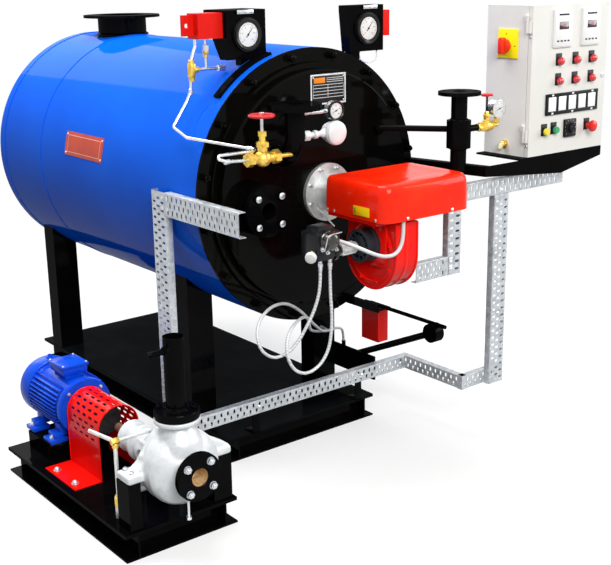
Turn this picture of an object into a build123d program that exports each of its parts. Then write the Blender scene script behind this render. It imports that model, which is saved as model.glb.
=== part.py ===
from build123d import *
from math import cos, sin, tan, pi, radians, sqrt
import os

os.makedirs("parts", exist_ok=True)

# Driving sizes, millimetres. x = 0 is the drum's axis, y = 0 the middle of the skid,
# z = 0 the floor, and the burner end of the drum faces -Y.

# Main skid of rolled channel with a sheet deck
skid_long = 1405
skid_wide = 650
channel_high = 80
channel_flange = 45
channel_web = 6
deck_thick = 5

# Legs of rectangular hollow section
leg_wide = 100
leg_deep = 80
leg_wall = 5
front_leg_back = 220        # from the skid's front edge
rear_leg_back = 90          # from the skid's rear edge

# Drum: insulated shell with a sheet jacket
drum_radius = 450
drum_long = 1437
drum_axis_z = 918
jacket_wall = 6
seam_from_rear = (362, 37)  # two seam beads, from the drum's rear end
seam_wide = 14
seam_high = 2
front_overhang = 55         # jacket front edge ahead of the skid
end_plate_thick = 8

# Front ring and door
ring_thick = 22
ring_step = 45              # ring, bore, door and lug circle, inside the drum's radius
ring_opening = 120
rim_thick = 8
door_inset = 66
door_thick = 31
door_hole = 70
lug_count = 16
lug_inset = 22
lug_radius = 9

# Saddle strap and the bare label plate on the left side
strap_thick = 8
strap_angles = (136, 106)   # from the right-hand side, seen from the front
label_from_rear = (840, 565)  # its two ends, from the drum's rear end
label_rise = (55, 138)      # above the drum's axis
label_thick = 1.5

# Chimney stub
chimney_from_rear = 242     # stub axis, from the drum's rear end
chimney_radius = 95
chimney_wall = 4
chimney_flange_radius = 150
chimney_flange_thick = 10
chimney_rise = 75           # flange face above the drum's crown
chimney_sink = 60           # stub's lower end below the crown

# Pipe sizes
pipe_radius = 30.15
pipe_bore = 26.5
flange_radius = 82.5
flange_thick = 18
flange_bolt_circle = 125
flange_bolt_hole = 9
flange_bolts = 4

# Outlet nozzle: out of the door and up
outlet_x = -188
outlet_z = 1050
outlet_reach = 112          # door face to the upright's axis
outlet_top_z = 1219
outlet_bend = 76

# Return nozzle: out of the door with a facing flange
return_x = -257
return_z = 890
return_reach = 62

# Globe valve beside the outlet
valve_x = -312
valve_z = 1068
valve_long = 116
valve_ball = 26
wheel_radius = 41
wheel_rim = 5
wheel_z = 1194
stem_radius = 5

# Gauge boxes with their dials, on the drum's crown
box_left_x = -184.5
box_right_x = 281
box_wide = 150
box_left_deep = 125
box_right_deep = 56
box_drop = -30              # box floor and roof, from the crown
box_rise = 121
dial_radius = 52
tube_radius = 5

# Burner
burner_x = 22
burner_z = 906
throat_radius = 60
mount_radius = 95
mount_thick = 14
cover_x = (-70, 288)
cover_y = (-441, -160)      # from the jacket's front edge
cover_z = (872, 985)
cover_corner = 45
body_x = (-64, 95)
body_low = 860
scroll_x = (-4, 88)
scroll_centre = (-300, 753)
scroll_radius = 116
intake_radius = 50
intake_reach = 48
intake_hub = 32
pump_block = (-250, -340, 766)
pump_block_size = (92, 80, 104)

# Standpipe at the right of the burner
stand_x = 411
stand_y = -270
stand_low = 950
stand_top = 1217
stand_radius = 26.5
stand_bore = 22
stand_flange_radius = 70
stand_flange_thick = 12
coupling_radius = 40
coupling_z = (1032, 1123)
cross_z = 1093
cross_radius = 10

# Control panel
panel_x = 678
panel_y = -340              # front face, from the jacket's front edge
panel_z = 975
panel_wide = 400
panel_deep = 200
panel_high = 505
panel_wall = 2
door_gap = 2
door_sheet = 2
door_fold = 18
bracket_thick = 6

# Perforated cable tray
tray_thick = 2
tray_lip = 25
slot_long = 22
slot_wide = 7
slot_pitch = 40
tray_low = 163
upper_low = 853

# Pump skid and pump set
pump_skid_x = -728.5
pump_skid_wide = 381
pump_skid_long = 789
pump_skid_front = -299      # from the jacket's front edge
shaft_x = -735
shaft_z = 252
suction_y = -412            # from the jacket's front edge
motor_radius = 96
motor_front = 262
motor_rear = 560
fin_count = 40
fin_high = 9
fin_thick = 3
guard_radius = 70
guard_front = 50
guard_rear = 256
guard_thick = 2
guard_slot_pitch = 38
volute_radius = 112
suction_radius = 77
disch_z = 402
disch_top = 640
disch_flange_radius = 64
disch_bolt_circle = 98
motor_shaft_high = 112

# Hoses and the conduit
hose_radius = 5
hose_start_z = 726
conduit_radius = 6

# Places that follow from the sizes
front = -skid_long / 2 - front_overhang
rear = front + drum_long
deck_top = channel_high + deck_thick
half = skid_wide / 2
inner_half = half - channel_flange
crown_z = drum_axis_z + drum_radius
chimney_top_z = crown_z + chimney_rise
ring_radius = drum_radius - ring_step
ring_bore = drum_radius - ring_opening
door_radius = drum_radius - door_inset
lug_circle = drum_radius - lug_inset
front_face = front - ring_thick
door_face = front_face - door_thick


def block(x0, x1, y0, y1, z0, z1):
    return Pos((x0 + x1) / 2, (y0 + y1) / 2, (z0 + z1) / 2) * Box(x1 - x0, y1 - y0, z1 - z0)


def plane_at(start, end):
    a, b = Vector(*start), Vector(*end)
    return Plane(origin=a, z_dir=b - a), (b - a).length


def bar(start, end, radius):
    plane, length = plane_at(start, end)
    return extrude(plane * Circle(radius), length)


def pipe(start, end, radius, bore):
    plane, length = plane_at(start, end)
    return extrude(plane * (Circle(radius) - Circle(bore)), length)


def flange(start, end, radius, bore, bolt_circle, hole, count=4):
    plane, length = plane_at(start, end)
    face = Circle(radius) - Circle(bore)
    for i in range(count):
        a = radians(360 / count * (i + 0.5))
        face -= Pos(bolt_circle / 2 * cos(a), bolt_circle / 2 * sin(a)) * Circle(hole)
    return extrude(plane * face, length)


def hexagon(start, end, across):
    plane, length = plane_at(start, end)
    return extrude(plane * RegularPolygon(across / sqrt(3), 6), length)


def channel(length, high, wide, web):
    """Channel along +Y with its web at x = 0 and its flanges reaching to x = wide."""
    face = Pos(wide / 2, high / 2) * Rectangle(wide, high)
    face -= Pos(web + wide / 2, high / 2) * Rectangle(wide, high - 2 * web)
    return extrude(Plane.XZ * face, -length)


def corner_radii(points, largest):
    """Bend radius at each inner point, as large as the runs beside it allow."""
    places = [Vector(*p) for p in points]
    radii = []
    for a, b, c in zip(places, places[1:], places[2:]):
        turn = radians((b - a).get_angle(c - b))
        radii.append(min(largest, 0.45 * min((b - a).length, (c - b).length) / tan(turn / 2)))
    return radii


def bent_rod(points, radius, bend=14):
    path = FilletPolyline(*points, radius=corner_radii(points, bend))
    return sweep(Plane(origin=path @ 0, z_dir=path % 0) * Circle(radius), path=path)


def save(name, shape):
    shape.label = name
    export_step(shape, "parts/" + name + ".step")


# Main skid: side channels with the flanges outward
side = channel(skid_long, channel_high, channel_flange, channel_web)
right_channel = Pos(inner_half, -skid_long / 2, 0) * side
skid_frame = right_channel + mirror(right_channel, Plane.YZ)

# Cross channels between the side webs
cross = Rot(0, 0, -90) * channel(2 * inner_half, channel_high, channel_flange, channel_web)
rear_channel = Rot(0, 0, 180) * Pos(-inner_half, -skid_long / 2 + channel_flange, 0) * cross
skid_frame += Pos(-inner_half, -skid_long / 2 + channel_flange, 0) * cross
skid_frame += rear_channel
skid_frame += Pos(-inner_half, channel_flange / 2, 0) * cross
save("skid_frame", skid_frame)

# Deck sheet over the channels
save("deck_plate", block(-half, half, -skid_long / 2, skid_long / 2, channel_high, deck_top))

# Legs: hollow section cut to the drum's curve
drum_cut = bar((0, front - 50, drum_axis_z), (0, rear + 50, drum_axis_z), drum_radius)
front_leg_y = -skid_long / 2 + front_leg_back
rear_leg_y = skid_long / 2 - rear_leg_back - leg_deep
for name, y in (("front", front_leg_y), ("rear", rear_leg_y)):
    leg = block(half - leg_wide, half, y, y + leg_deep, deck_top, drum_axis_z)
    leg -= block(half - leg_wide + leg_wall, half - leg_wall, y + leg_wall, y + leg_deep - leg_wall,
                 deck_top, drum_axis_z)
    leg -= drum_cut
    save("leg_" + name + "_left", mirror(leg, Plane.YZ))
    if name == "front":
        leg += bar((244, y - 16, 314), (244, y + 1, 314), 7.5)
    save("leg_" + name + "_right", leg)

# Drum jacket: rolled sheet with raised seam beads and the hole for the chimney
jacket = pipe((0, front, drum_axis_z), (0, rear, drum_axis_z), drum_radius, drum_radius - jacket_wall)
for back in seam_from_rear:
    jacket += pipe((0, rear - back, drum_axis_z), (0, rear - back + seam_wide, drum_axis_z),
                   drum_radius + seam_high, drum_radius - 1)
chimney_axis = rear - chimney_from_rear
jacket -= bar((0, chimney_axis, drum_axis_z), (0, chimney_axis, chimney_top_z), chimney_radius)
save("drum_jacket", jacket)

# Rear end plate, closed, with a stiffening rim
rear_plate = bar((0, rear, drum_axis_z), (0, rear + end_plate_thick, drum_axis_z), drum_radius)
rear_plate += pipe((0, rear - 30, drum_axis_z), (0, rear, drum_axis_z),
                   drum_radius - jacket_wall, drum_radius - jacket_wall - 6)
save("rear_end_plate", rear_plate)

# Chimney stub: flanged pipe standing in the jacket's hole
chimney = pipe((0, chimney_axis, crown_z - chimney_sink), (0, chimney_axis, chimney_top_z),
               chimney_radius, chimney_radius - chimney_wall)
chimney += flange((0, chimney_axis, chimney_top_z - chimney_flange_thick),
                  (0, chimney_axis, chimney_top_z), chimney_flange_radius, chimney_radius - 1,
                  2 * (chimney_flange_radius - 22), 7, 8)
save("chimney_stub", chimney)

# Front ring: rim in the jacket's mouth, stepped flange and swing-bolt lugs
ring = pipe((0, front, drum_axis_z), (0, front - rim_thick, drum_axis_z), drum_radius, ring_bore)
ring += pipe((0, front - rim_thick, drum_axis_z), (0, front_face, drum_axis_z), ring_radius, ring_bore)
for i in range(lug_count):
    a = radians(360 / lug_count * (i + 0.5))
    x, z = lug_circle * cos(a), drum_axis_z + lug_circle * sin(a)
    ring += bar((x, front - rim_thick, z), (x, front_face, z), lug_radius)
save("front_ring", ring)

# Front door plate with the burner hole
door = bar((0, front_face, drum_axis_z), (0, door_face, drum_axis_z), door_radius)
door = chamfer(door.edges().filter_by(GeomType.CIRCLE).sort_by(Axis.Y)[0], 6)
door -= bar((burner_x, front_face, burner_z), (burner_x, door_face, burner_z), door_hole)
save("front_door", door)

# Saddle strap over the jacket's left shoulder
strap = pipe((0, front + 30, drum_axis_z), (0, front + 62, drum_axis_z),
             drum_radius + strap_thick, drum_radius)
wedge = make_face(Polyline((0, 0), *[(1.6 * drum_radius * cos(radians(a)), 1.6 * drum_radius * sin(radians(a)))
                                     for a in strap_angles], close=True))
strap_plane = Plane(origin=(0, front + 46, drum_axis_z), x_dir=(1, 0, 0), z_dir=(0, -1, 0))
strap &= extrude(strap_plane * wedge, 40, both=True)
save("saddle_strap", strap)

# Bare label plate, rolled to the jacket
label_y = (rear - label_from_rear[0], rear - label_from_rear[1])
label = pipe((0, label_y[0], drum_axis_z), (0, label_y[1], drum_axis_z),
             drum_radius + label_thick, drum_radius)
label &= block(-drum_radius - 10, 0, label_y[0] - 10, label_y[1] + 10,
               drum_axis_z + label_rise[0], drum_axis_z + label_rise[1])
save("label_plate", label)

# Bare nameplate on the door
save("nameplate", block(-38, 107, door_face - 2, door_face, 1190, 1286))

# Outlet nozzle: pipe out of the door, elbow and upward flange
outlet_y = door_face - outlet_reach
route = FilletPolyline((outlet_x, door_face, outlet_z), (outlet_x, outlet_y, outlet_z),
                       (outlet_x, outlet_y, outlet_top_z - flange_thick), radius=outlet_bend)
outlet_solid = sweep(Plane(origin=route @ 0, z_dir=route % 0) * Circle(pipe_radius), path=route)
nozzle = outlet_solid + flange((outlet_x, outlet_y, outlet_top_z - flange_thick), (outlet_x, outlet_y, outlet_top_z),
                 flange_radius, pipe_bore, flange_bolt_circle, flange_bolt_hole)
nozzle -= bar((outlet_x, outlet_y, outlet_top_z - 70), (outlet_x, outlet_y, outlet_top_z), pipe_bore)
nozzle += bar((outlet_x, door_face, outlet_z), (outlet_x, door_face - 8, outlet_z), pipe_radius + 18)
save("outlet_nozzle", nozzle)

# Dial thermometer and white sensor head on the outlet's upright
dial_z = 1186
pocket = outlet_x + pipe_radius
therm = bar((pocket, outlet_y, dial_z), (-66, outlet_y, dial_z), 6)
therm += bar((-38, outlet_y + 10, dial_z), (-38, outlet_y - 14, dial_z), 29)
save("dial_thermometer", therm)
head_z = 1118
head = bar((pocket, outlet_y, head_z), (-70, outlet_y, head_z), 9)
head += hexagon((pocket, outlet_y, head_z), (pocket + 24, outlet_y, head_z), 30)
head += bar((-42, outlet_y + 26, head_z), (-42, outlet_y - 30, head_z), 37)
save("sensor_head", head)

# Return nozzle: short pipe with a root collar, facing flange and bolt heads
return_face = door_face - return_reach
back = return_face + 20
nozzle = pipe((return_x, door_face, return_z), (return_x, back, return_z), pipe_radius, pipe_bore)
nozzle += flange((return_x, back, return_z), (return_x, return_face, return_z), flange_radius,
                 pipe_bore, flange_bolt_circle, flange_bolt_hole)
nozzle += pipe((return_x, door_face, return_z), (return_x, door_face - 20, return_z),
               flange_radius, pipe_bore)
for i in range(flange_bolts):
    a = radians(90 * i + 45)
    x, z = return_x + flange_bolt_circle / 2 * cos(a), return_z + flange_bolt_circle / 2 * sin(a)
    nozzle += bar((x, door_face - 20, z), (x, return_face, z), flange_bolt_hole)
    nozzle += hexagon((x, return_face, z), (x, return_face - 10, z), 24)
save("return_nozzle", nozzle)

# Globe valve: waisted body along X with hexagon ends and a bonnet
valve_y = outlet_y
ends = valve_long / 2
valve = hexagon((valve_x - ends, valve_y, valve_z), (valve_x - ends + 20, valve_y, valve_z), 38)
valve += hexagon((valve_x + ends - 20, valve_y, valve_z), (valve_x + ends, valve_y, valve_z), 38)
valve += bar((valve_x - ends, valve_y, valve_z), (valve_x + ends, valve_y, valve_z), 15)
valve += Pos(valve_x, valve_y, valve_z) * Sphere(valve_ball)
valve += bar((valve_x, valve_y, valve_z), (valve_x, valve_y, valve_z + 50), 15)
valve += hexagon((valve_x, valve_y, valve_z + 34), (valve_x, valve_y, valve_z + 48), 36)
valve += bar((valve_x, valve_y, valve_z + 50), (valve_x, valve_y, valve_z + 78), 9.5)
valve += hexagon((valve_x, valve_y, valve_z + 66), (valve_x, valve_y, valve_z + 80), 24)
valve += bar((valve_x + ends, valve_y, valve_z), (outlet_x - 5, valve_y, valve_z), 7)
valve -= outlet_solid
valve -= bar((valve_x, valve_y, valve_z + 30), (valve_x, valve_y, valve_z + 90), stem_radius + 0.3)
save("globe_valve", valve)

# Handwheel: round rim, hub and spokes on the stem
ring_middle = wheel_radius - wheel_rim
wheel = revolve(Plane.XZ * Pos(ring_middle, 0) * Circle(wheel_rim), Axis.Z)
wheel += Cylinder(9, 16)
for i in range(5):
    wheel += Rot(0, 0, 72 * i) * Pos(ring_middle / 2, 0, 0) * Box(ring_middle, 7, 4)
wheel = Pos(valve_x, valve_y, wheel_z) * wheel
wheel += bar((valve_x, valve_y, valve_z + 36), (valve_x, valve_y, wheel_z), stem_radius)
save("valve_handwheel", wheel)

# Gauge boxes on the drum: bent sheet hoods with a dial in the front


def gauge_box(x0, x1, z0, z1, y0, y1):
    side_face = Plane.YZ * make_face(Polyline(
        (y0, z0), (y0, z1), (y1, z1), (y1, z1 - 18), (y0 + 40, z0), close=True))
    return Pos(x0, 0, 0) * extrude(side_face, x1 - x0)


box_low, box_high = crown_z + box_drop, crown_z + box_rise
for name, cx, y0, deep, leg_x in (("left", box_left_x, front + 80, box_left_deep, box_left_x - 20),
                                  ("right", box_right_x, front + 40, box_right_deep, box_right_x - 66)):
    x0, x1, cz = cx - box_wide / 2, cx + box_wide / 2, (box_low + box_high) / 2
    hood = gauge_box(x0, x1, box_low, box_high, y0, y0 + deep)
    hood += block(leg_x, leg_x + 40, y0 + 6, y0 + 34, crown_z - 150, box_low + 5)
    hood -= drum_cut
    hood -= bar((cx, y0, cz), (cx, y0 + 24, cz), dial_radius - 6)
    save("gauge_box_" + name, hood)
    dial = bar((cx, y0 + 24, cz), (cx, y0, cz), dial_radius - 6)
    dial += bar((cx, y0, cz), (cx, y0 - 10, cz), dial_radius)
    save("pressure_gauge_" + name, dial)

# Pressure switches beside the boxes
switch_x = box_left_x - box_wide / 2
switch = block(switch_x - 91, switch_x, front + 100, front + 160, crown_z + 37, crown_z + 114)
switch += block(switch_x - 133, switch_x - 91, front + 126, front + 132, crown_z + 47, crown_z + 110)
switch -= bar((switch_x - 115, front + 120, crown_z + 78), (switch_x - 115, front + 140, crown_z + 78), 7)
save("pressure_switch_left", switch)
switch_x = box_right_x + box_wide / 2
save("pressure_switch_right", block(switch_x, switch_x + 34, front + 46, front + 40 + box_right_deep,
                                    crown_z + 17, crown_z + 102))

# Impulse tube: down from the left switch, round the drum's shoulder, forward past the ring
# and through a hairpin to the valve, with a tee and a second riser to the switch
tube_y = front + 130
reach = drum_radius - 450    # the tube keeps clear of a larger or smaller drum
tube_route = [(-344, 130, 37), (-344, 130, 16), (-360, 130, -26), (-366, 130, -120), (-384, 130, -154),
              (-438, 126, -224), (-457, 20, -244), (-328, -114, -275), (-313, -134, -277),
              (-334, -147, -279), (-460, -154, -277), (-468, -163, -286)]
places = [(x - reach * (x < -400), front + y, crown_z + z) for x, y, z in tube_route]
places += [(-440, valve_y, valve_z + 4), (valve_x - ends, valve_y, valve_z)]
tube = bent_rod(places, tube_radius)
tube += hexagon((-360, tube_y, crown_z - 77), (-360, tube_y, crown_z - 37), 22)
tube += bar((-362, tube_y, crown_z - 56), (-258, tube_y, crown_z - 56), tube_radius)
tube += hexagon((-262, tube_y, crown_z - 56), (-238, tube_y, crown_z - 56), 18)
tube += bar((-306, tube_y, crown_z - 56), (-306, tube_y, crown_z + 37), tube_radius - 1)
tube += hexagon((-306, tube_y, crown_z - 12), (-306, tube_y, crown_z + 16), 18)
save("impulse_tube", tube)

# Burner mounting flange and throat
mount_y = door_face - mount_thick
mount = flange((burner_x, door_face, burner_z), (burner_x, mount_y, burner_z), mount_radius,
               throat_radius, 2 * (mount_radius - 14), 6, 8)
body_y = (front - 400, front + cover_y[1])
throat = bar((burner_x, door_face + 30, burner_z), (burner_x, body_y[1], burner_z), throat_radius)
save("burner_flange", mount + throat)

# Burner body under the cover
body = block(body_x[0], body_x[1], body_y[0], body_y[1], body_low, cover_z[0])
body = fillet(body.edges().filter_by(Axis.Z), 12)

# Cover: moulded hood with round upright corners and a soft top edge
cover = block(cover_x[0], cover_x[1], front + cover_y[0], front + cover_y[1], cover_z[0], cover_z[1])
cover = fillet(cover.edges().filter_by(Axis.Z).group_by(Axis.Y)[0], cover_corner)
cover = fillet(cover.edges().group_by(Axis.Z)[-1], 10)
cover -= throat
save("burner_cover", cover)

# Fan scroll below the body, with its outlet neck
sy, sz = front + scroll_centre[0], scroll_centre[1]
scroll = bar((scroll_x[0], sy, sz), (scroll_x[1], sy, sz), scroll_radius)
scroll += block(scroll_x[0], scroll_x[1], sy - scroll_radius, sy + scroll_radius - 12, sz + 40, body_low)
scroll += block(scroll_x[0], scroll_x[1], sy - scroll_radius, sy, sz, body_low)
save("burner_housing", body + scroll)

# Air intake on the scroll's left face
intake = bar((scroll_x[0], sy, sz), (scroll_x[0] - intake_reach, sy, sz), intake_radius)
intake -= bar((scroll_x[0] - 12, sy, sz), (scroll_x[0] - intake_reach, sy, sz), intake_radius - 8)
intake += bar((scroll_x[0], sy, sz), (scroll_x[0] - intake_reach + 4, sy, sz), intake_hub)
save("air_intake", intake)

# Oil pump block with its cup and fittings
px, py, pz = pump_block[0], front + pump_block[1], pump_block[2]
pw, pd, ph = pump_block_size
oil = block(px, px + pw, py, py + pd, pz, pz + ph)
oil += bar((px + 40, py, pz + 66), (px + 40, py - 34, pz + 66), 28)
oil += bar((px + pw, sy, pz + 15), (scroll_x[0] - intake_reach + 4, sy, pz + 15), 13)
for hx, hy in ((-198, -290), (-168, -300)):
    oil += bar((hx, front + hy, pz), (hx, front + hy, hose_start_z), 7.5)
save("oil_pump", oil)

# Standpipe: pipe, thick coupling and top flange
stand_y_abs = front + stand_y
stand = pipe((stand_x, stand_y_abs, stand_low), (stand_x, stand_y_abs, stand_top), stand_radius,
             stand_bore)
stand += pipe((stand_x, stand_y_abs, coupling_z[0]), (stand_x, stand_y_abs, coupling_z[1]),
              coupling_radius, stand_bore)
stand += flange((stand_x, stand_y_abs, stand_top - stand_flange_thick),
                (stand_x, stand_y_abs, stand_top), stand_flange_radius, stand_bore, 105, 7)
branch_z = 1090
stand += bar((stand_x + stand_bore + 2, stand_y_abs, branch_z), (stand_x + 95, stand_y_abs, branch_z), 11)

# Cross pipe from the door to the standpipe
link = bar((246, door_face - 10, cross_z), (stand_x, stand_y_abs, cross_z), cross_radius)
link += bar((246, door_face, cross_z), (246, door_face - 16, cross_z), 18)
link -= bar((stand_x, stand_y_abs, coupling_z[0]), (stand_x, stand_y_abs, coupling_z[1]), stand_radius)
save("standpipe", stand + link)

# Gauge cock on the standpipe's branch, its handle and the gauge
cock_x = stand_x + 132
gauge_x = stand_x + 180
cock = hexagon((stand_x + 95, stand_y_abs, branch_z), (cock_x + 30, stand_y_abs, branch_z), 26)
cock += bar((cock_x, stand_y_abs, branch_z), (cock_x, stand_y_abs, branch_z + 42), 8)
cock += bar((cock_x + 30, stand_y_abs, branch_z), (gauge_x + 6, stand_y_abs, branch_z), 6)
cock += bar((gauge_x, stand_y_abs, branch_z), (gauge_x, stand_y_abs, branch_z + 24), 5)
cock -= bar((cock_x, stand_y_abs, branch_z + 20), (cock_x, stand_y_abs, branch_z + 60), 3.3)
save("gauge_cock", cock)
lever = bar((cock_x, stand_y_abs, branch_z + 24), (cock_x, stand_y_abs, branch_z + 106), 3)
lever += bar((cock_x, stand_y_abs, branch_z + 100), (cock_x, stand_y_abs, branch_z + 108), 19)
save("cock_handwheel", lever)
gauge_z = branch_z + 24 + 32
save("stand_gauge", bar((gauge_x, stand_y_abs + 12, gauge_z), (gauge_x, stand_y_abs - 14, gauge_z), 32))

# Panel bracket: arm from the ring, gusset and shelf
panel_front = front + panel_y
shelf_low = panel_z - bracket_thick
arm_x = drum_radius - 52     # on the ring, outside the door
arm = Plane.XY * make_face(Polyline(
    (arm_x, front_face), (arm_x + 30, front_face), (496, panel_front + 6), (496, panel_front),
    (470, panel_front), close=True))
bracket = Pos(0, 0, shelf_low - 34) * extrude(arm, 34)
gusset = Plane.XZ * make_face(Polyline((470, shelf_low), (panel_x + panel_wide, shelf_low),
                                       (panel_x + panel_wide, shelf_low - 28), (858, shelf_low - 68),
                                       (470, shelf_low - 34), close=True))
bracket += Pos(0, panel_front + bracket_thick, 0) * extrude(gusset, bracket_thick)
bracket += block(panel_x - 40, panel_x + panel_wide, panel_front, panel_front + panel_deep,
                 shelf_low, panel_z)
save("panel_bracket", bracket)

# Enclosure: open-fronted sheet box
x0, x1 = panel_x, panel_x + panel_wide
y0, y1 = panel_front + door_fold, panel_front + panel_deep
z0, z1 = panel_z, panel_z + panel_high
enclosure = block(x0, x1, y0, y1, z0, z1)
enclosure -= block(x0 + panel_wall, x1 - panel_wall, y0, y1 - panel_wall, z0 + panel_wall, z1 - panel_wall)

# Panel door: folded pan hung on its left edge
dy0, dy1 = panel_front, y0 - door_gap
pan = block(x0, x1, dy0, dy1, z0 + 1, z1)
pan -= block(x0 + door_sheet, x1 - door_sheet, dy0 + door_sheet, dy1, z0 + 1 + door_sheet, z1 - door_sheet)
hinge_x, hinge_y = x0 - 7, y0 - door_gap / 2
for z in (z0 + 50, z1 - 90):
    pan += bar((hinge_x, hinge_y, z), (hinge_x, hinge_y, z + 40), 5)
    pan += block(hinge_x, x0 + door_sheet, dy0 + 4, dy0 + 12, z, z + 40)
    pan += block(hinge_x - 3, hinge_x + 3, dy0 + 4, hinge_y, z, z + 40)
save("panel_door", pan)

# Things on the door
def on_door(x, z, radius, reach):
    return bar((x, dy0, z), (x, dy0 - reach, z), radius)


lamps = [on_door(x0 + c, z0 + r, 13, 22) for r in (330, 265) for c in (140, 228, 316)]
lamps += [on_door(x0 + 78, z0 + 82, 13, 20), on_door(x0 + 128, z0 + 84, 13, 20)]
lamps.append(on_door(x0 + 308, z0 + 82, 12, 30)
             + bar((x0 + 308, dy0 - 22, z0 + 82), (x0 + 308, dy0 - 38, z0 + 82), 20))
save("door_lamps", Compound(children=lamps))
instruments = [block(x0 + c - 48, x0 + c + 48, dy0 - 8, dy0, z0 + 385, z0 + 481) for c in (150, 300)]
instruments.append(block(x0 + 70, x0 + 350, dy0 - 6, dy0, z0 + 150, z0 + 222))
instruments.append(block(x0 + 170, x0 + 232, dy0 - 8, dy0, z0 + 50, z0 + 112))
save("door_instruments", Compound(children=instruments))

# Isolator on the enclosure's left side
iso_y, iso_z = panel_front + 112, 1346
enclosure += block(x0 - 3, x0, iso_y - 42, iso_y + 42, iso_z - 42, iso_z + 42)
for z in (z0 + 50, z1 - 90):
    enclosure += bar((hinge_x, hinge_y, z + 40.3), (hinge_x, hinge_y, z + 58), 5)
    enclosure += block(hinge_x - 2, x0, hinge_y + 2, y0 + 12, z + 40.3, z + 58)
save("panel_enclosure", enclosure)
knob = bar((x0 - 3.5, iso_y, iso_z), (x0 - 14, iso_y, iso_z), 24)
knob += block(x0 - 32, x0 - 14, iso_y - 7, iso_y + 7, iso_z - 24, iso_z + 24)
save("isolator_knob", knob)


# Cable trays: U-section with rows of slots
def tray(length, high):
    """Tray along +X, back in the XZ plane at y = 0, lips reaching to +Y."""
    section = block(0, length, 0, tray_lip, 0, high)
    section -= block(-1, length + 1, tray_thick, tray_lip + 1, tray_thick, high - tray_thick)
    count = int((length - 20) / slot_pitch)
    start = (length - (count - 1) * slot_pitch) / 2
    cuts = [block(start + i * slot_pitch - slot_wide / 2, start + i * slot_pitch + slot_wide / 2,
                  -1, tray_thick + 1, z - slot_long / 2, z + slot_long / 2)
            for i in range(count) for z in (high * 0.28, high * 0.72)]
    return section - cuts


# Left run beside the drum and its riser, the lips turned towards the drum
left_tray_x = -drum_radius - tray_lip - 4
left_low, left_high = 866, 942
left_run = Pos(left_tray_x, front + 134, left_low) * Rot(0, 0, -90) * tray(404, left_high - left_low)
left_riser = Pos(left_tray_x, front + 134, tray_low + 50) * Rot(0, 0, -90) * Rot(0, -90, 0) * tray(
    left_high - tray_low - 50, 80)
save("cable_tray_left", left_run + left_riser)

# Front run past the skid, its return and stand-offs to the deck
front_tray_y = front + 24
corner_x = 456
run = Pos(left_tray_x, front_tray_y, tray_low) * tray(corner_x - left_tray_x, 50)
run += Pos(left_tray_x, front + 214, tray_low) * Rot(0, 0, -90) * tray(214 - 24 - tray_lip, 50)
run += Pos(corner_x, front_tray_y + tray_lip, tray_low) * Rot(0, 0, -90) * tray(320, 50)
run += Pos(corner_x, front_tray_y - 295, tray_low) * tray(184, 50)
for x in (-230, 230):
    run += block(x, x + 30, front_tray_y + tray_lip - 4, front_tray_y + tray_lip, deck_top, tray_low + 4)
    run += block(x, x + 30, front_tray_y + tray_lip - 4, -skid_long / 2 + 40, deck_top, deck_top + 4)
save("cable_tray_front", run)

# Riser to the panel, upper run and the drop behind the burner
up_y = front_tray_y - 295 - tray_lip
rise = Pos(corner_x + 184, up_y, tray_low) * Rot(0, -90, 0) * tray(upper_low - tray_low, 72)
upper = Pos(345, up_y, upper_low) * tray(580, 58)
drop = Pos(407, up_y, 610) * Rot(0, -90, 0) * tray(upper_low - 610, 62)
drop += Pos(200, up_y, 610) * tray(150, 66)
save("cable_tray_panel", rise + upper + drop)

# Pump skid: channel frame, deck, pump pedestal and motor stools welded together
ps_front = front + pump_skid_front
ps_half = pump_skid_wide / 2
ps_in = ps_half - channel_flange
ps_side = channel(pump_skid_long, channel_high, channel_flange, channel_web)
right_side = Pos(pump_skid_x + ps_in, ps_front, 0) * ps_side
ps_cross = Rot(0, 0, -90) * channel(2 * ps_in, channel_high, channel_flange, channel_web)
skid = right_side + mirror(right_side, Plane(origin=(pump_skid_x, 0, 0), z_dir=(1, 0, 0)))
skid += Pos(pump_skid_x - ps_in, ps_front + channel_flange, 0) * ps_cross
skid += Pos(pump_skid_x + ps_in, ps_front + pump_skid_long - channel_flange, 0) * Rot(0, 0, 180) * ps_cross

# Pump deck with the pump pedestal and the motor stool
suction = front + suction_y
foot_low = shaft_z - 22
ped_y = (ps_front + 8, ps_front + 76)
ped_x = (pump_skid_x - 168, pump_skid_x + 180)
foot_y = (ped_y[0] + 2, suction + 164)
motor_base = shaft_z - motor_shaft_high
m0, m1 = front + motor_front, front + motor_rear
deck = block(pump_skid_x - ps_half, pump_skid_x + ps_half, ps_front, ps_front + pump_skid_long,
             channel_high, deck_top)
deck += block(ped_x[0], ped_x[1], ped_y[0], ped_y[1], deck_top, foot_low)
deck -= block(shaft_x - 122, shaft_x + 122, ped_y[0] - 1, ped_y[1] + 1, deck_top, foot_low + 1)
for x in (ped_x[0], ped_x[1]):
    toward = 1 if x < shaft_x else -1
    inner = sorted((x + toward * 8, x + toward * 60))
    deck -= block(inner[0], inner[1], ped_y[0] + 8, ped_y[1] + 1, deck_top, foot_low - 8)
deck += block(shaft_x - 122, shaft_x + 122, m0 + 50, m1 - 104, deck_top, motor_base)
deck -= block(shaft_x - 112, shaft_x + 112, m0 + 40, m1 - 90, deck_top, motor_base - 8)
save("pump_skid", skid + deck)

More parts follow.
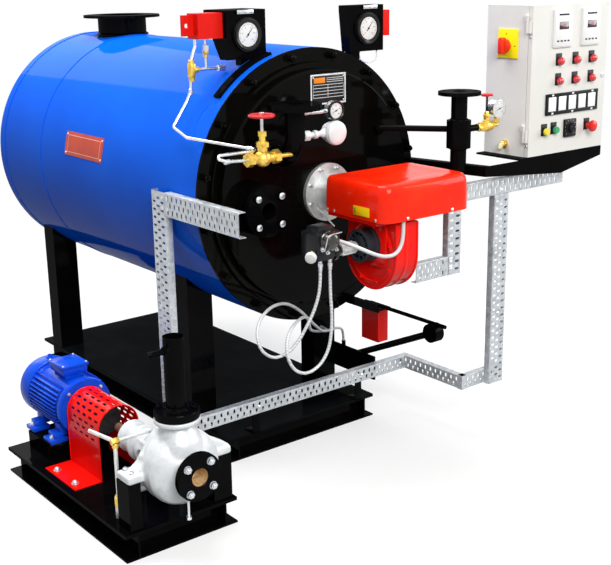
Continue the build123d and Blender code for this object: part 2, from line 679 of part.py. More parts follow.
# Pump casing: volute, suction branch, upright discharge branch and side feet
disch_y = suction + 78
casing = bar((shaft_x, suction + 70, shaft_z), (shaft_x, suction + 150, shaft_z), volute_radius)
casing = fillet(casing.edges().filter_by(GeomType.CIRCLE), 16)
casing += loft([Plane(origin=(shaft_x, suction + 72, shaft_z), z_dir=(0, -1, 0)) * Circle(86),
                Plane(origin=(shaft_x, suction + 30, shaft_z), z_dir=(0, -1, 0)) * Circle(48)])
casing += bar((shaft_x, suction + 18, shaft_z), (shaft_x, suction + 32, shaft_z), 48)
shoulders = make_face(Polyline(
    (ped_x[0] - shaft_x, foot_low - shaft_z), (ped_x[0] - shaft_x, foot_low + 24 - shaft_z),
    (ped_x[0] + 34 - shaft_x, foot_low + 30 - shaft_z), (-66, 72), (66, 72),
    (ped_x[1] - 34 - shaft_x, foot_low + 30 - shaft_z), (ped_x[1] - shaft_x, foot_low + 24 - shaft_z),
    (ped_x[1] - shaft_x, foot_low - shaft_z), close=True))
shoulder_plane = Plane(origin=(shaft_x, foot_y[1], shaft_z), x_dir=(1, 0, 0), z_dir=(0, -1, 0))
web = extrude(shoulder_plane * shoulders, foot_y[1] - foot_y[0])
web = fillet(web.edges().filter_by(Axis.Z).group_by(Axis.X)[0], 12)
web = fillet(web.edges().filter_by(Axis.Z).group_by(Axis.X)[-1], 12)
casing += web
casing += bar((shaft_x, disch_y + 30, shaft_z), (shaft_x, disch_y + 30, disch_z - 16), 38)
casing += bar((shaft_x, disch_y + 30, disch_z - 16), (shaft_x, disch_y + 30, disch_z),
              disch_flange_radius + 3)
casing += bar((shaft_x, suction + 150, shaft_z), (shaft_x, suction + 166, shaft_z), 88)
casing -= bar((shaft_x, suction + 18, shaft_z), (shaft_x, suction + 100, shaft_z), pipe_bore)
casing -= bar((shaft_x, disch_y + 30, shaft_z + 60), (shaft_x, disch_y + 30, disch_z), pipe_bore)
save("pump_casing", casing)

# Suction flange with its bolt heads
suction_flange = flange((shaft_x, suction + 18, shaft_z), (shaft_x, suction, shaft_z),
                        suction_radius, pipe_bore, 2 * suction_radius - 38, 8)
for i in range(4):
    a = radians(90 * i + 45)
    x = shaft_x + (suction_radius - 19) * cos(a)
    z = shaft_z + (suction_radius - 19) * sin(a)
    suction_flange += bar((x, suction + 18, z), (x, suction, z), 8)
    suction_flange += hexagon((x, suction, z), (x, suction - 9, z), 22)
save("suction_flange", suction_flange)

# Discharge flange and the pipe above it, with a side branch
disch_axis = disch_y + 30
disch = pipe((shaft_x, disch_axis, disch_z), (shaft_x, disch_axis, disch_top), pipe_radius, pipe_bore)
disch += flange((shaft_x, disch_axis, disch_z), (shaft_x, disch_axis, disch_z + 24),
                disch_flange_radius, pipe_bore, disch_bolt_circle, 6)
disch += bar((shaft_x - pipe_bore - 1, disch_axis, disch_top - 90),
             (shaft_x - 85, disch_axis, disch_top - 90), 9)
save("discharge_pipe", disch)

# Bearing bracket: lantern with windows, bearing housing and shaft
brg = bar((shaft_x, suction + 166, shaft_z), (shaft_x, suction + 176, shaft_z), 88)
brg += loft([Plane(origin=(shaft_x, suction + 176, shaft_z), z_dir=(0, 1, 0)) * Circle(78),
             Plane(origin=(shaft_x, suction + 290, shaft_z), z_dir=(0, 1, 0)) * Circle(46)])
brg -= block(shaft_x - 100, shaft_x + 100, suction + 196, suction + 262, shaft_z - 30, shaft_z + 30)
brg += bar((shaft_x, suction + 166, shaft_z), (shaft_x, front + guard_front + 70, shaft_z), 14)
brg += bar((shaft_x, suction + 276, shaft_z), (shaft_x, suction + 380, shaft_z), 46)
brg += bar((shaft_x, suction + 300, shaft_z), (shaft_x, suction + 312, shaft_z), 56)
brg += block(shaft_x - 9, shaft_x + 9, suction + 330, suction + 350, deck_top, shaft_z - 30)
brg += block(shaft_x - 40, shaft_x + 40, suction + 322, suction + 358, deck_top, deck_top + 10)
save("bearing_bracket", brg)

# Coupling between pump and motor shafts
hub_y = front + guard_front + 70
coupling = bar((shaft_x, hub_y, shaft_z), (shaft_x, hub_y + 60, shaft_z), 48)
coupling += bar((shaft_x, hub_y + 60, shaft_z), (shaft_x, hub_y + 84, shaft_z), 30)
save("shaft_coupling", coupling)

# Motor: finned frame, drive-end shield, feet and terminal box, then the fan cover
motor = bar((shaft_x, m0 + 18, shaft_z), (shaft_x, m1 - 80, shaft_z), motor_radius)
motor += bar((shaft_x, m0, shaft_z), (shaft_x, m0 + 22, shaft_z), motor_radius + 6)
fins = []
for i in range(fin_count):
    fin = block(-fin_thick / 2, fin_thick / 2, m0 + 22, m1 - 80, motor_radius - 3,
                motor_radius + fin_high)
    fins.append(Pos(shaft_x, 0, shaft_z) * Rot(0, (i + 0.5) * 360 / fin_count, 0) * fin)
motor += fins
motor += bar((shaft_x, hub_y + 84, shaft_z), (shaft_x, m0, shaft_z), 14)
for side in (-1, 1):
    fx = shaft_x + side * 90
    for ya in (m0 + 60, m1 - 150):
        motor += block(fx - 32, fx + 32, ya, ya + 36, motor_base, motor_base + 12)
        motor += block(fx - 14, fx + 4, ya + 8, ya + 28, motor_base + 10, shaft_z - 45)
box_z = shaft_z + motor_radius - 8
tbox = block(shaft_x - 62, shaft_x + 62, m0 + 40, m0 + 160, box_z, box_z + 58)
motor += fillet(tbox.edges().filter_by(Axis.Z), 8)
cap = bar((shaft_x, m1 - 80, shaft_z), (shaft_x, m1, shaft_z), motor_radius + fin_high + 3)
cap = fillet(cap.edges().filter_by(GeomType.CIRCLE).sort_by(Axis.Y)[-1], 20)
cap -= bar((shaft_x, m1 - 8, shaft_z), (shaft_x, m1, shaft_z), 30)
save("motor", motor + cap)

# Coupling guard: slotted arch with foot flanges
gy0, gy1 = front + guard_front, front + guard_rear
arch = Circle(guard_radius) + Pos(0, -(shaft_z - deck_top) / 2) * Rectangle(
    2 * guard_radius, shaft_z - deck_top)
hollow = Circle(guard_radius - guard_thick) + Pos(0, -(shaft_z - deck_top) / 2) * Rectangle(
    2 * (guard_radius - guard_thick), shaft_z - deck_top)
guard_plane = Plane(origin=(shaft_x, gy1, shaft_z), x_dir=(1, 0, 0), z_dir=(0, -1, 0))
guard = extrude(guard_plane * (arch - hollow), gy1 - gy0)
guard += block(shaft_x - guard_radius - 92, shaft_x - guard_radius + guard_thick, gy0, gy1,
               deck_top, deck_top + 3)
guard += block(shaft_x + guard_radius - guard_thick, shaft_x + guard_radius + 55, gy0, gy1,
               deck_top, deck_top + 3)
slots = []
for k in range(-7, 8):
    a = k * 17
    offset = 0 if k % 2 == 0 else guard_slot_pitch / 2
    for n in range(5):
        y = gy0 + 24 + offset + n * guard_slot_pitch
        if y < gy1 - 18:
            if abs(a) <= 90:
                place = Pos(shaft_x, y, shaft_z) * Rot(0, a, 0) * Pos(0, 0, guard_radius - 1)
            else:
                side = 1 if a > 0 else -1
                fall = (abs(a) - 90) * 1.3
                place = Pos(shaft_x + side * (guard_radius - 1), y, shaft_z - fall) * Rot(0, 90, 0)
            slots.append(place * Box(8, 22, 10))
guard -= slots
save("coupling_guard", guard)

# Drain tube beside the pump: open end, tee off the bearing bracket, down leg and brass end
drain_y = suction + 228
drain_z = shaft_z + 70.8
drain = bent_rod([(-898, drain_y + 104, drain_z + 6), (-872, drain_y, drain_z), (-872, drain_y, 150)], 6)
drain += bar((-872, drain_y, drain_z), (shaft_x, drain_y, drain_z), 5)
drain += hexagon((-872, drain_y, 150), (-872, drain_y, deck_top), 22)
save("drain_tube", drain)

# Frame by the right front leg: side beam, filter bracket, rods and round boss
beam_x = half
side_frame = block(beam_x, beam_x + 8, front + 50, front + 421, 140, 230)
side_frame += block(beam_x, beam_x + 6, front + 28, front_leg_y + leg_deep, 405, 437)
side_frame += block(beam_x, beam_x + 62, front + 28, front + 134, 411, 417)
side_frame += bar((beam_x + 12, front + 110, 430), (beam_x + 12, front - 300, 430), 7)
side_frame += bar((beam_x - 4, front - 240, 396), (beam_x + 34, front - 240, 396), 33)
side_frame += bar((beam_x + 19, front - 215, 384), (beam_x + 19, front + 273, 160), 12)
side_frame += bar((328, front + 225, 250), (331, front + 227, 222), 7.5)
save("side_frame", side_frame)
save("filter_box", block(beam_x + 8, beam_x + 56, front + 36, front + 126, 288, 411))


# Free hoses: straight runs joined by tangent arcs, as large as the runs allow
def hose(points, radius):
    radii = corner_radii(points, 10000)
    print("radii", [round(r) for r in radii])
    path = FilletPolyline(*points, radius=radii)
    line = sweep(Plane(origin=path @ 0, z_dir=path % 0) * Circle(radius), path=path)
    print("length", round(path.length), "volume over section times length",
          round(line.volume / (path.length * pi * radius ** 2), 4))
    return line


supply_route = [(-198, -290, 726), (-198, -290, 692), (-206, -290, 644), (-224, -286, 596),
                (-248, -280, 552), (-272, -272, 512), (-304, -262, 478), (-350, -250, 466),
                (-388, -238, 494), (-396, -224, 540), (-374, -208, 582), (-328, -192, 606),
                (-274, -172, 608), (-218, -144, 592), (-160, -112, 560), (-104, -76, 522),
                (-50, -40, 480), (6, 4, 440), (66, 56, 400), (128, 112, 360), (186, 158, 334),
                (238, 188, 322), (282, 208, 314), (314, 218, 302), (325, 223, 278), (328, 225, 250)]
return_route = [(-168, -300, 726), (-168, -300, 692), (-170, -304, 640), (-170, -310, 584),
                (-176, -314, 528), (-190, -316, 474), (-222, -312, 430), (-270, -306, 412),
                (-314, -300, 434), (-334, -292, 482), (-324, -280, 530), (-286, -260, 560),
                (-234, -232, 566), (-180, -190, 552), (-128, -138, 520), (-80, -82, 478),
                (-32, -24, 438), (20, 34, 406), (72, 96, 378), (120, 144, 352), (162, 176, 334),
                (212, 196, 320), (244, 222, 314), (244, 259, 314)]
conduit_route = [(-170, -340, 824), (-170, -366, 824), (-162, -398, 819), (-140, -422, 806),
                 (-106, -435, 788), (-66, -438, 774), (-24, -437, 774), (6, -432, 798),
                 (16, -428, 834), (16, -428, 872)]
for name, points, size in (("hose_supply", supply_route, hose_radius),
                           ("hose_return", return_route, hose_radius),
                           ("burner_conduit", conduit_route, conduit_radius)):
    save(name, hose([(x, front + y, z) for x, y, z in points], size))
print("built")
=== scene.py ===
from math import copysign, cos, pi, radians, sin, sqrt
import bmesh
import bpy
from mathutils import Matrix, Vector


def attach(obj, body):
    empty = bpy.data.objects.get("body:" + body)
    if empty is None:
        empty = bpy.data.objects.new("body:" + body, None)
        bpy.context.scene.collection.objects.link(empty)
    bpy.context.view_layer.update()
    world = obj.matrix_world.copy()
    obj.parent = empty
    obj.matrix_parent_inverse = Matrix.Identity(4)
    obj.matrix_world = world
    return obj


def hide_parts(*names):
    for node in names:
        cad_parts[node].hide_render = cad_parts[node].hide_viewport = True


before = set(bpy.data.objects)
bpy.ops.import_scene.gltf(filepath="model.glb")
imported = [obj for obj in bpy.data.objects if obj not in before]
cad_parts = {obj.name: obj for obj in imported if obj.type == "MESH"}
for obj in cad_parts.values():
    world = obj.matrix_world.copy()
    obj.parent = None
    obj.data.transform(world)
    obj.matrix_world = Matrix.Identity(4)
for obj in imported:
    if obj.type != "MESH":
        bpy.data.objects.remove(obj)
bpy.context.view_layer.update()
scene = bpy.context.scene
scene.view_settings.view_transform = "Standard"


# Studio: a wide white card under the heater, lit by four large soft boxes.
# The card is plain white paper, which keeps the heater's shadow.
def linear(code):
    """sRGB hex to the linear colour that a shader takes."""
    parts = [int(code[i:i + 2], 16) / 255 for i in (1, 3, 5)]
    return tuple(c / 12.92 if c <= 0.04045 else ((c + 0.055) / 1.055) ** 2.4 for c in parts) + (1.0,)


def plug(node, values):
    """Sets a node's attributes and sockets. A hex code is a colour, and a node or socket is linked."""
    for name, value in values.items():
        if isinstance(value, bpy.types.Node):
            usual = value.outputs[2 if value.bl_idname == "ShaderNodeMix" else 0]
            value = value.outputs.get("Fac", usual)
        if isinstance(value, bpy.types.NodeSocket):
            node.id_data.links.new(value, node.inputs[name])
        elif isinstance(name, str) and hasattr(node, name):
            setattr(node, name, value)
        else:
            coded = isinstance(value, str) and value.startswith("#")
            node.inputs[name].default_value = linear(value) if coded else value


def add(tree, kind, values=None):
    node = tree.nodes.new("ShaderNode" + kind)
    plug(node, values or {})
    return node


def new_finish(name, slot=None):
    """An empty finish: its material, tree, shader and the place on the part, in metres."""
    material = bpy.data.materials.new(name)
    material["slot"] = slot or ""
    material.use_nodes = True
    tree = material.node_tree
    place = add(tree, "TexCoord").outputs["Object"]
    return material, tree, tree.nodes["Principled BSDF"], place


paper, tree, shader, place = new_finish("white_paper")
fibre = add(tree, "TexNoise", {"Scale": 40, "Detail": 4, "Vector": place})
tone = add(tree, "Mix", {"data_type": "RGBA", 6: "#F4F4F3", 7: "#FAFAF9", 0: fibre})
rays = add(tree, "LightPath")
shaded = add(tree, "Mix", {"data_type": "RGBA", 7: "#5A5A5A", 0: rays.outputs["Is Diffuse Ray"], 6: tone})
plug(shader, {"Base Color": shaded, "Roughness": 0.9, "Specular IOR Level": 0.1})
glow = add(tree, "Emission", {"Color": "#FFFFFF", "Strength": 1.0})
looked_at = add(tree, "Math", {"operation": "MAXIMUM", 0: rays.outputs["Is Camera Ray"],
                               1: rays.outputs["Is Glossy Ray"]})
away = add(tree, "VectorMath", {"operation": "LENGTH", 0: place})
fade = add(tree, "MapRange", {"From Min": 1.6, "From Max": 3.6, "To Min": 0.5, "To Max": 1.0,
                              "Value": away.outputs["Value"]})
seen = add(tree, "Math", {"operation": "MULTIPLY", 0: looked_at, 1: fade})
blend = add(tree, "MixShader", {0: seen, 1: shader, 2: glow})
plug(tree.nodes["Material Output"], {"Surface": blend})

bm = bmesh.new()
bmesh.ops.create_grid(bm, x_segments=2, y_segments=2, size=200)
card = bpy.data.meshes.new("floor_card")
bm.to_mesh(card)
bm.free()
card.materials.append(paper)
floor = bpy.data.objects.new("floor_card", card)
scene.collection.objects.link(floor)

world = bpy.data.worlds.new("studio")
scene.world = world
world.use_nodes = True
sky = world.node_tree
room = sky.nodes["Background"]
rays = add(sky, "LightPath")
mirrored = add(sky, "Math", {"operation": "MAXIMUM", 0: rays.outputs["Is Glossy Ray"],
                             1: rays.outputs["Is Transmission Ray"]})
direct = add(sky, "Math", {"operation": "MAXIMUM", 0: rays.outputs["Is Camera Ray"], 1: mirrored})
level = add(sky, "MapRange", {"To Min": 0.3, "To Max": 1.0, "Value": direct})
plug(room, {"Color": "#FFFFFF", "Strength": level})

for name, spot, aim, size, power in (("key_box", (-1.7, -5.6, 4.0), (0, -0.4, 0.8), 3.0, 330),
                                     ("top_box", (-0.6, 0.6, 4.6), (0, 0, 0.9), 3.2, 230),
                                     ("side_box", (4.4, -3.4, 2.6), (0.2, -0.4, 0.8), 2.6, 120),
                                     ("back_box", (0.5, 5.0, 3.2), (0, 0, 0.8), 3.0, 80)):
    lamp = bpy.data.lights.new(name, "AREA")
    lamp.size = size
    lamp.energy = power
    holder = bpy.data.objects.new(name, lamp)
    scene.collection.objects.link(holder)
    holder.location = spot
    holder.rotation_mode = "QUATERNION"
    holder.rotation_quaternion = (Vector(aim) - Vector(spot)).to_track_quat("-Z", "Y")

# Camera: at the photograph's place, its roll and focal length worked out for a 611 by 565 frame.
photo_wide, focal_pixels, film_wide = 611, 1098.67, 36
standing_at = (-2.2216, -3.5503, 1.6125)
yaw, pitch, roll = 0.6658, -0.2794, -0.0161
ahead = Vector((sin(yaw) * cos(pitch), cos(yaw) * cos(pitch), sin(pitch)))
across = Vector((cos(yaw), -sin(yaw), 0))
above = across.cross(ahead)
across_rolled = across * cos(roll) + above * sin(roll)
above_rolled = above * cos(roll) - across * sin(roll)
lens = bpy.data.cameras.new("camera")
lens.sensor_width = film_wide
lens.lens = focal_pixels * film_wide / photo_wide
camera = bpy.data.objects.new("camera", lens)
scene.collection.objects.link(camera)
turn = Matrix((across_rolled, above_rolled, -ahead)).transposed().to_4x4()
camera.matrix_world = Matrix.Translation(standing_at) @ turn
scene.camera = camera


# Skid and legs: rolled channel and hollow section, welded, under black machinery enamel.
# Brushed enamel is glossy with a fine ripple, and dulls where dust and boots reach it.
def enamel(name, slot, body_colour, worn_colour, rough=(0.12, 0.3), ripple_mm=9, ripple=0.05, coat=0.06,
           mirror=0.12):
    """Oil enamel: two near tones in patches, a rippled gloss and a thin clear top layer."""
    material, tree, shader, place = new_finish(name, slot)
    patches = add(tree, "TexNoise", {"Scale": 1000 / 140, "Detail": 5, "Roughness": 0.6, "Vector": place})
    tone = add(tree, "Mix", {"data_type": "RGBA", 6: body_colour, 7: worn_colour,
                             0: add(tree, "MapRange",
                                    {"From Min": 0.42, "From Max": 0.75, "Value": patches})})
    dull = add(tree, "TexNoise", {"Scale": 1000 / 35, "Detail": 6, "Roughness": 0.7, "Vector": place})
    gloss = add(tree, "MapRange", {"From Min": 0.3, "From Max": 0.75, "To Min": rough[0],
                                   "To Max": rough[1], "Value": dull})
    peel = add(tree, "TexNoise", {"Scale": 1000 / ripple_mm, "Detail": 2, "Vector": place})
    relief = add(tree, "Bump", {"Strength": ripple, "Distance": 0.002, "Height": peel})
    plug(shader, {"Base Color": tone, "Roughness": gloss, "Normal": relief, "Specular IOR Level": mirror,
                  "Coat Weight": coat, "Coat Roughness": 0.08})
    return material


def dress(finish, *nodes):
    """Gives CAD nodes that finish."""
    for name in nodes:
        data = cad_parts[name].data
        data.materials.clear()
        data.materials.append(finish)


black_enamel = enamel("black_enamel", "black_paint", "#050506", "#0C0C0E", rough=(0.14, 0.3), coat=0.07,
                      mirror=0.0)
deck_enamel = enamel("deck_enamel", "black_paint", "#0C0E10", "#17191B", rough=(0.38, 0.6), ripple_mm=5,
                     ripple=0.12, coat=0.03, mirror=0.0)
dress(black_enamel, "skid_frame", "leg_front_left", "leg_front_right", "leg_rear_left", "leg_rear_right",
      "side_frame", "pump_skid")
dress(deck_enamel, "deck_plate")

# Drum jacket and rear plate: rolled steel sheet, sprayed in bright blue polyurethane.
# The sheet is not quite true, so its reflections wander, and the lacquer is deep and clear.
jacket_blue, tree, shader, place = new_finish("jacket_blue", "blue_jacket")
cloud = add(tree, "TexNoise", {"Scale": 1000 / 300, "Detail": 3, "Vector": place})
tone = add(tree, "Mix", {"data_type": "RGBA", 6: "#0650D6", 7: "#0C68EC", 0: cloud})
scuff = add(tree, "TexNoise", {"Scale": 1000 / 60, "Detail": 8, "Roughness": 0.7, "Vector": place})
gloss = add(tree, "MapRange", {"From Min": 0.4, "From Max": 0.8, "To Min": 0.2, "To Max": 0.34,
                               "Value": scuff})
sheet_wave = add(tree, "TexNoise", {"Scale": 1000 / 260, "Detail": 1, "Vector": place})
orange_peel = add(tree, "TexNoise", {"Scale": 1000 / 4, "Detail": 1, "Vector": place})
sheet_relief = add(tree, "Bump", {"Strength": 0.25, "Distance": 0.012, "Height": sheet_wave})
relief = add(tree, "Bump", {"Strength": 0.03, "Distance": 0.001, "Height": orange_peel,
                            "Normal": sheet_relief})
plug(shader, {"Base Color": tone, "Roughness": gloss, "Normal": relief, "Specular IOR Level": 0.0,
              "Coat Weight": 0.14, "Coat Roughness": 0.06})
dress(jacket_blue, "drum_jacket", "rear_end_plate")

# Front ring, door, strap and chimney stub: flame-cut plate and rolled pipe in black enamel.
# The door's face takes heat, so its gloss is a little uneven.
door_enamel = enamel("door_enamel", "black_paint", "#050505", "#0C0B08", rough=(0.1, 0.26), ripple_mm=14,
                     ripple=0.06, coat=0.12, mirror=0.0)
dress(door_enamel, "front_ring", "front_door")
dress(black_enamel, "saddle_strap", "chimney_stub", "outlet_nozzle", "return_nozzle", "gauge_box_left",
      "gauge_box_right", "standpipe", "panel_bracket", "discharge_pipe", "suction_flange")

# Swing bolts round the front ring: sixteen studs with nuts, painted over with the ring.
# Thick enamel rounds their corners, so only the edges catch the light.
millimetres = Matrix.Scale(0.001, 4)
to_front, to_back, to_left, to_right, down = (0, -1, 0), (0, 1, 0), (-1, 0, 0), (1, 0, 0), (0, 0, -1)


def spin(angle, axis="Z"):
    return Matrix.Rotation(radians(angle), 4, axis)


def polar(radius, angle):
    return radius * cos(radians(angle)), radius * sin(radians(angle))


def around(count, radius, start=0):
    """Places at even steps round a circle."""
    return [polar(radius, start + 360 / count * i) for i in range(count)]


def seat(centre, along=(0, 0, 1), turned=0):
    """Where a part is fixed: its foot at centre, in mm, with its own Z in that direction."""
    facing = Vector(along).to_track_quat("Z", "Y").to_matrix().to_4x4()
    return Matrix.Translation(Vector(centre) / 1000) @ facing @ spin(turned) @ millimetres


def lathe(bm, spot, profile, steps=32):
    """Turns a profile of (radius, height) pairs, in mm, about the seat's Z."""
    rings = []
    for radius, height in profile:
        count = 1 if radius == 0 else steps
        rings.append([bm.verts.new(spot @ Vector((radius * cos(2 * pi * i / steps),
                                   radius * sin(2 * pi * i / steps), height))) for i in range(count)])
    for low, high in zip(rings, rings[1:]):
        for i in range(steps):
            corners = [low[i % len(low)], low[(i + 1) % len(low)], high[(i + 1) % len(high)],
                       high[i % len(high)]]
            corners = list(dict.fromkeys(corners))
            if len(corners) > 2:
                bm.faces.new(corners)


def slab(bm, spot, outline, low, high, edge=0.0):
    """A plate with that outline between two heights, its edges eased by edge, all in mm."""
    part = bmesh.new()
    floor_face = part.faces.new([part.verts.new((x, y, low)) for x, y in outline])
    raised = bmesh.ops.extrude_face_region(part, geom=[floor_face])["geom"]
    bmesh.ops.translate(part, vec=(0, 0, high - low),
                        verts=[v for v in raised if isinstance(v, bmesh.types.BMVert)])
    bmesh.ops.recalc_face_normals(part, faces=part.faces)
    if edge:
        bmesh.ops.bevel(part, geom=part.edges[:], offset=edge, segments=2, profile=0.5, affect="EDGES",
                        clamp_overlap=True)
    part.transform(spot)
    held = bpy.data.meshes.new("held")
    part.to_mesh(held)
    part.free()
    bm.from_mesh(held)
    bpy.data.meshes.remove(held)


def hexagon(across):
    return around(6, across / sqrt(3))


def bolt(bm, spot, across, head, stud=0.0):
    """Washer and hexagon with eased edges, and a stud's end standing out of it."""
    lathe(bm, spot, [(0, 0), (across * 0.62, 0), (across * 0.62, 1.4), (across * 0.4, 1.6)], 20)
    slab(bm, spot, hexagon(across), 1.4, 1.4 + head, across * 0.05)
    if stud:
        lathe(bm, spot, [(across * 0.3, 1), (across * 0.3, head + stud), (across * 0.25, head + stud + 1),
                         (0, head + stud + 1)], 14)


def piece(name, bm, finish, body="heater", sharp=35):
    """Turns the built mesh into a piece of that finish, riding on a body."""
    bmesh.ops.recalc_face_normals(bm, faces=bm.faces)
    data = bpy.data.meshes.new(name)
    bm.to_mesh(data)
    bm.free()
    data.materials.append(finish)
    data.shade_smooth()
    data.set_sharp_from_angle(angle=radians(sharp))
    ob = bpy.data.objects.new(name, data)
    scene.collection.objects.link(ob)
    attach(ob, body)
    return ob


front = -757.5
drum_z, lug_circle, ring_face, door_face = 918, 428, front - 22, front - 53
bm = bmesh.new()
for i, (x, z) in enumerate(around(16, lug_circle, 11.25)):
    bolt(bm, seat((x, ring_face, drum_z + z), to_front, 22.5 * i), 19, 9, stud=7)
piece("ring_bolts", bm, door_enamel)

# Burner flange: cast aluminium with eight nuts, left bare.
# As-cast alloy is pale and soft in its shine, with a fine sand grain.
cast_alloy, tree, shader, place = new_finish("cast_aluminium", "flange_alloy")
sand = add(tree, "TexNoise", {"Scale": 1000 / 2.2, "Detail": 3, "Vector": place})
stain = add(tree, "TexNoise", {"Scale": 1000 / 45, "Detail": 4, "Vector": place})
tone = add(tree, "Mix", {"data_type": "RGBA", 6: "#D9DBDA", 7: "#A9ACAB",
                         0: add(tree, "MapRange", {"From Min": 0.45, "From Max": 0.8, "Value": stain})})
relief = add(tree, "Bump", {"Strength": 0.25, "Distance": 0.0008, "Height": sand})
plug(shader, {"Base Color": tone, "Normal": relief, "Metallic": 0.75, "Roughness": 0.48})
dress(cast_alloy, "burner_flange")

# Zinc fasteners: turned and rolled steel under bright zinc plate.
# Plating leaves a soft shine with faint cloudy variation and a slight blue cast.
zinc_plate, tree, shader, place = new_finish("zinc_plate", "steel")
cloud = add(tree, "TexNoise", {"Scale": 1000 / 12, "Detail": 3, "Vector": place})
tone = add(tree, "Mix", {"data_type": "RGBA", 6: "#D7DBDF", 7: "#B4B9BE", 0: cloud})
gloss = add(tree, "MapRange", {"To Min": 0.22, "To Max": 0.42, "Value": cloud})
plug(shader, {"Base Color": tone, "Roughness": gloss, "Metallic": 0.95})

burner_x, burner_z, burner_circle = 22, 906, 81
bm = bmesh.new()
for x, z in around(8, burner_circle, 22.5):
    bolt(bm, seat((burner_x + x, door_face - 14, burner_z + z), to_front), 12, 6, stud=4)
piece("burner_flange_nuts", bm, zinc_plate)

return_x, return_z, return_face, return_circle = -257, 890, door_face - 62, 62.5
bm = bmesh.new()
for x, z in around(4, return_circle, 45):
    spot = seat((return_x + x, return_face - 10, return_z + z), to_front, 15)
    lathe(bm, spot, [(11, 0), (11, 1.5), (9, 4), (5, 5.5), (0, 6)], 20)
piece("return_bolt_caps", bm, zinc_plate)


# Nameplate and side label: thin blank plates held by four rivets each.
# The nameplate is black-filled aluminium with a bare frame and empty ruled fields.
def rectangle(x0, x1, y0, y1):
    return [(x0, y0), (x1, y0), (x1, y1), (x0, y1)]


def metal(name, slot, bright, dark, rough=0.35, patch_mm=20, metallic=0.9, grain=None):
    """Bare metal with two near tones in patches, and a fine grain where it is brushed."""
    material, tree, shader, place = new_finish(name, slot)
    patch = add(tree, "TexNoise", {"Scale": 1000 / patch_mm, "Detail": 4, "Vector": place})
    tone = add(tree, "Mix", {"data_type": "RGBA", 6: bright, 7: dark,
                             0: add(tree, "MapRange", {"From Min": 0.4, "From Max": 0.75, "Value": patch})})
    gloss = add(tree, "MapRange", {"To Min": rough * 0.75, "To Max": rough * 1.25, "Value": patch})
    if grain:
        stretched = add(tree, "Mapping", {"Scale": grain, "Vector": place})
        lines = add(tree, "TexNoise", {"Scale": 1, "Detail": 2, "Vector": stretched})
        relief = add(tree, "Bump", {"Strength": 0.2, "Distance": 0.0004, "Height": lines})
        plug(shader, {"Normal": relief})
    plug(shader, {"Base Color": tone, "Roughness": gloss, "Metallic": metallic})
    return material


plate_alloy = metal("brushed_aluminium", "steel", "#E3E4E4", "#C6C8C9", rough=0.32, grain=(60, 900, 900))
plate_ink = enamel("plate_ink", "black_paint", "#1B1B1D", "#252527", rough=(0.3, 0.45), ripple=0.02,
                   coat=0.1)
label_orange = enamel("label_orange", "label_orange", "#D2401C", "#B4331A", rough=(0.25, 0.4), ripple=0.02,
                      coat=0.3)
dress(plate_alloy, "nameplate")
dress(label_orange, "label_plate")
plate_x, plate_z, label_radius = 34.5, 1238, 451.5
bm = bmesh.new()
slab(bm, seat((plate_x, door_face - 2, plate_z), to_front), rectangle(-67, 67, -43, 43), 0, 0.5, 0.2)
piece("nameplate_field", bm, plate_ink)
bm = bmesh.new()
plate_spot = seat((plate_x, door_face - 2.5, plate_z), to_front)
for row in range(5):
    y = 40 - 10 * row - 26
    slab(bm, plate_spot, rectangle(-62, 62, y - 0.8, y + 0.8), 0, 0.4)
for x in (-62.8, 62):
    slab(bm, plate_spot, rectangle(x, x + 0.8, -27, 14), 0, 0.4)
slab(bm, plate_spot, rectangle(-3, -1.6, -27, 14), 0, 0.4)
for row in range(3):
    slab(bm, plate_spot, rectangle(-8, 60, 34 - 6 * row, 35.4 - 6 * row), 0, 0.4)
for x in (-62, 62):
    for y in (-38, 38):
        lathe(bm, seat((plate_x + x, door_face - 2.5, plate_z + y), to_front),
              [(2.6, 0), (2.4, 1), (1.4, 1.7), (0, 1.9)], 14)
piece("nameplate_lines", bm, plate_alloy)
bm = bmesh.new()
slab(bm, plate_spot, rectangle(-60, -14, 20, 37), 0, 0.5, 0.2)
amber_print = enamel("amber_print", "label_orange", "#E58A2C", "#D67A20", rough=(0.25, 0.4), ripple=0.02)
piece("nameplate_patch", bm, amber_print)
bm = bmesh.new()
for y in (front + 606, front + 863):
    for z in (982, 1047):
        x = -sqrt(label_radius ** 2 - (z - drum_z) ** 2)
        lathe(bm, seat((x, y, z), (x, 0, z - drum_z)), [(3.6, 0), (3.3, 1.2), (2, 2.2), (0, 2.5)], 14)
piece("label_rivets", bm, plate_alloy)

# Bare frame line round the side label, printed in from its edge.
# It follows the plate's curve and stands a coat of ink proud.
label_ink = enamel("label_ink", "label_orange", "#F0B9A6", "#E5A48E", rough=(0.3, 0.45), ripple=0.02,
                   coat=0.1)
bm = bmesh.new()


def on_label(y, z, lift):
    r = label_radius + lift
    return Vector((-sqrt(r * r - (z - drum_z) ** 2), y, z)) / 1000


def ink_bar(bm, y0, y1, z0, z1, lift=0.4):
    steps = 6
    grid = [[bm.verts.new(on_label(y, z0 + (z1 - z0) * i / steps, lift)) for y in (y0, y1)]
            for i in range(steps + 1)]
    for low, high in zip(grid, grid[1:]):
        bm.faces.new((low[0], low[1], high[1], high[0]))


for y0, y1, z0, z1 in ((615, 854, 984, 986.4), (615, 854, 1043, 1045.4), (615, 617.4, 984, 1045),
                       (851.6, 854, 984, 1045)):
    ink_bar(bm, front + y0, front + y1, z0, z1)
piece("label_frame", bm, label_ink)

# Outlet, return and stub pipework: fillet welds where each pipe meets its plate.
# Each bead rounds off its corner under the paint.
def weld(bm, spot, radius, size, steps=72):
    """A fillet bead round a pipe's root."""
    lathe(bm, spot, [(radius - 1, 0), (radius + size, 0), (radius + size * 0.8, size * 0.5),
                     (radius + size * 0.4, size * 0.85), (radius - 1, size)], steps)


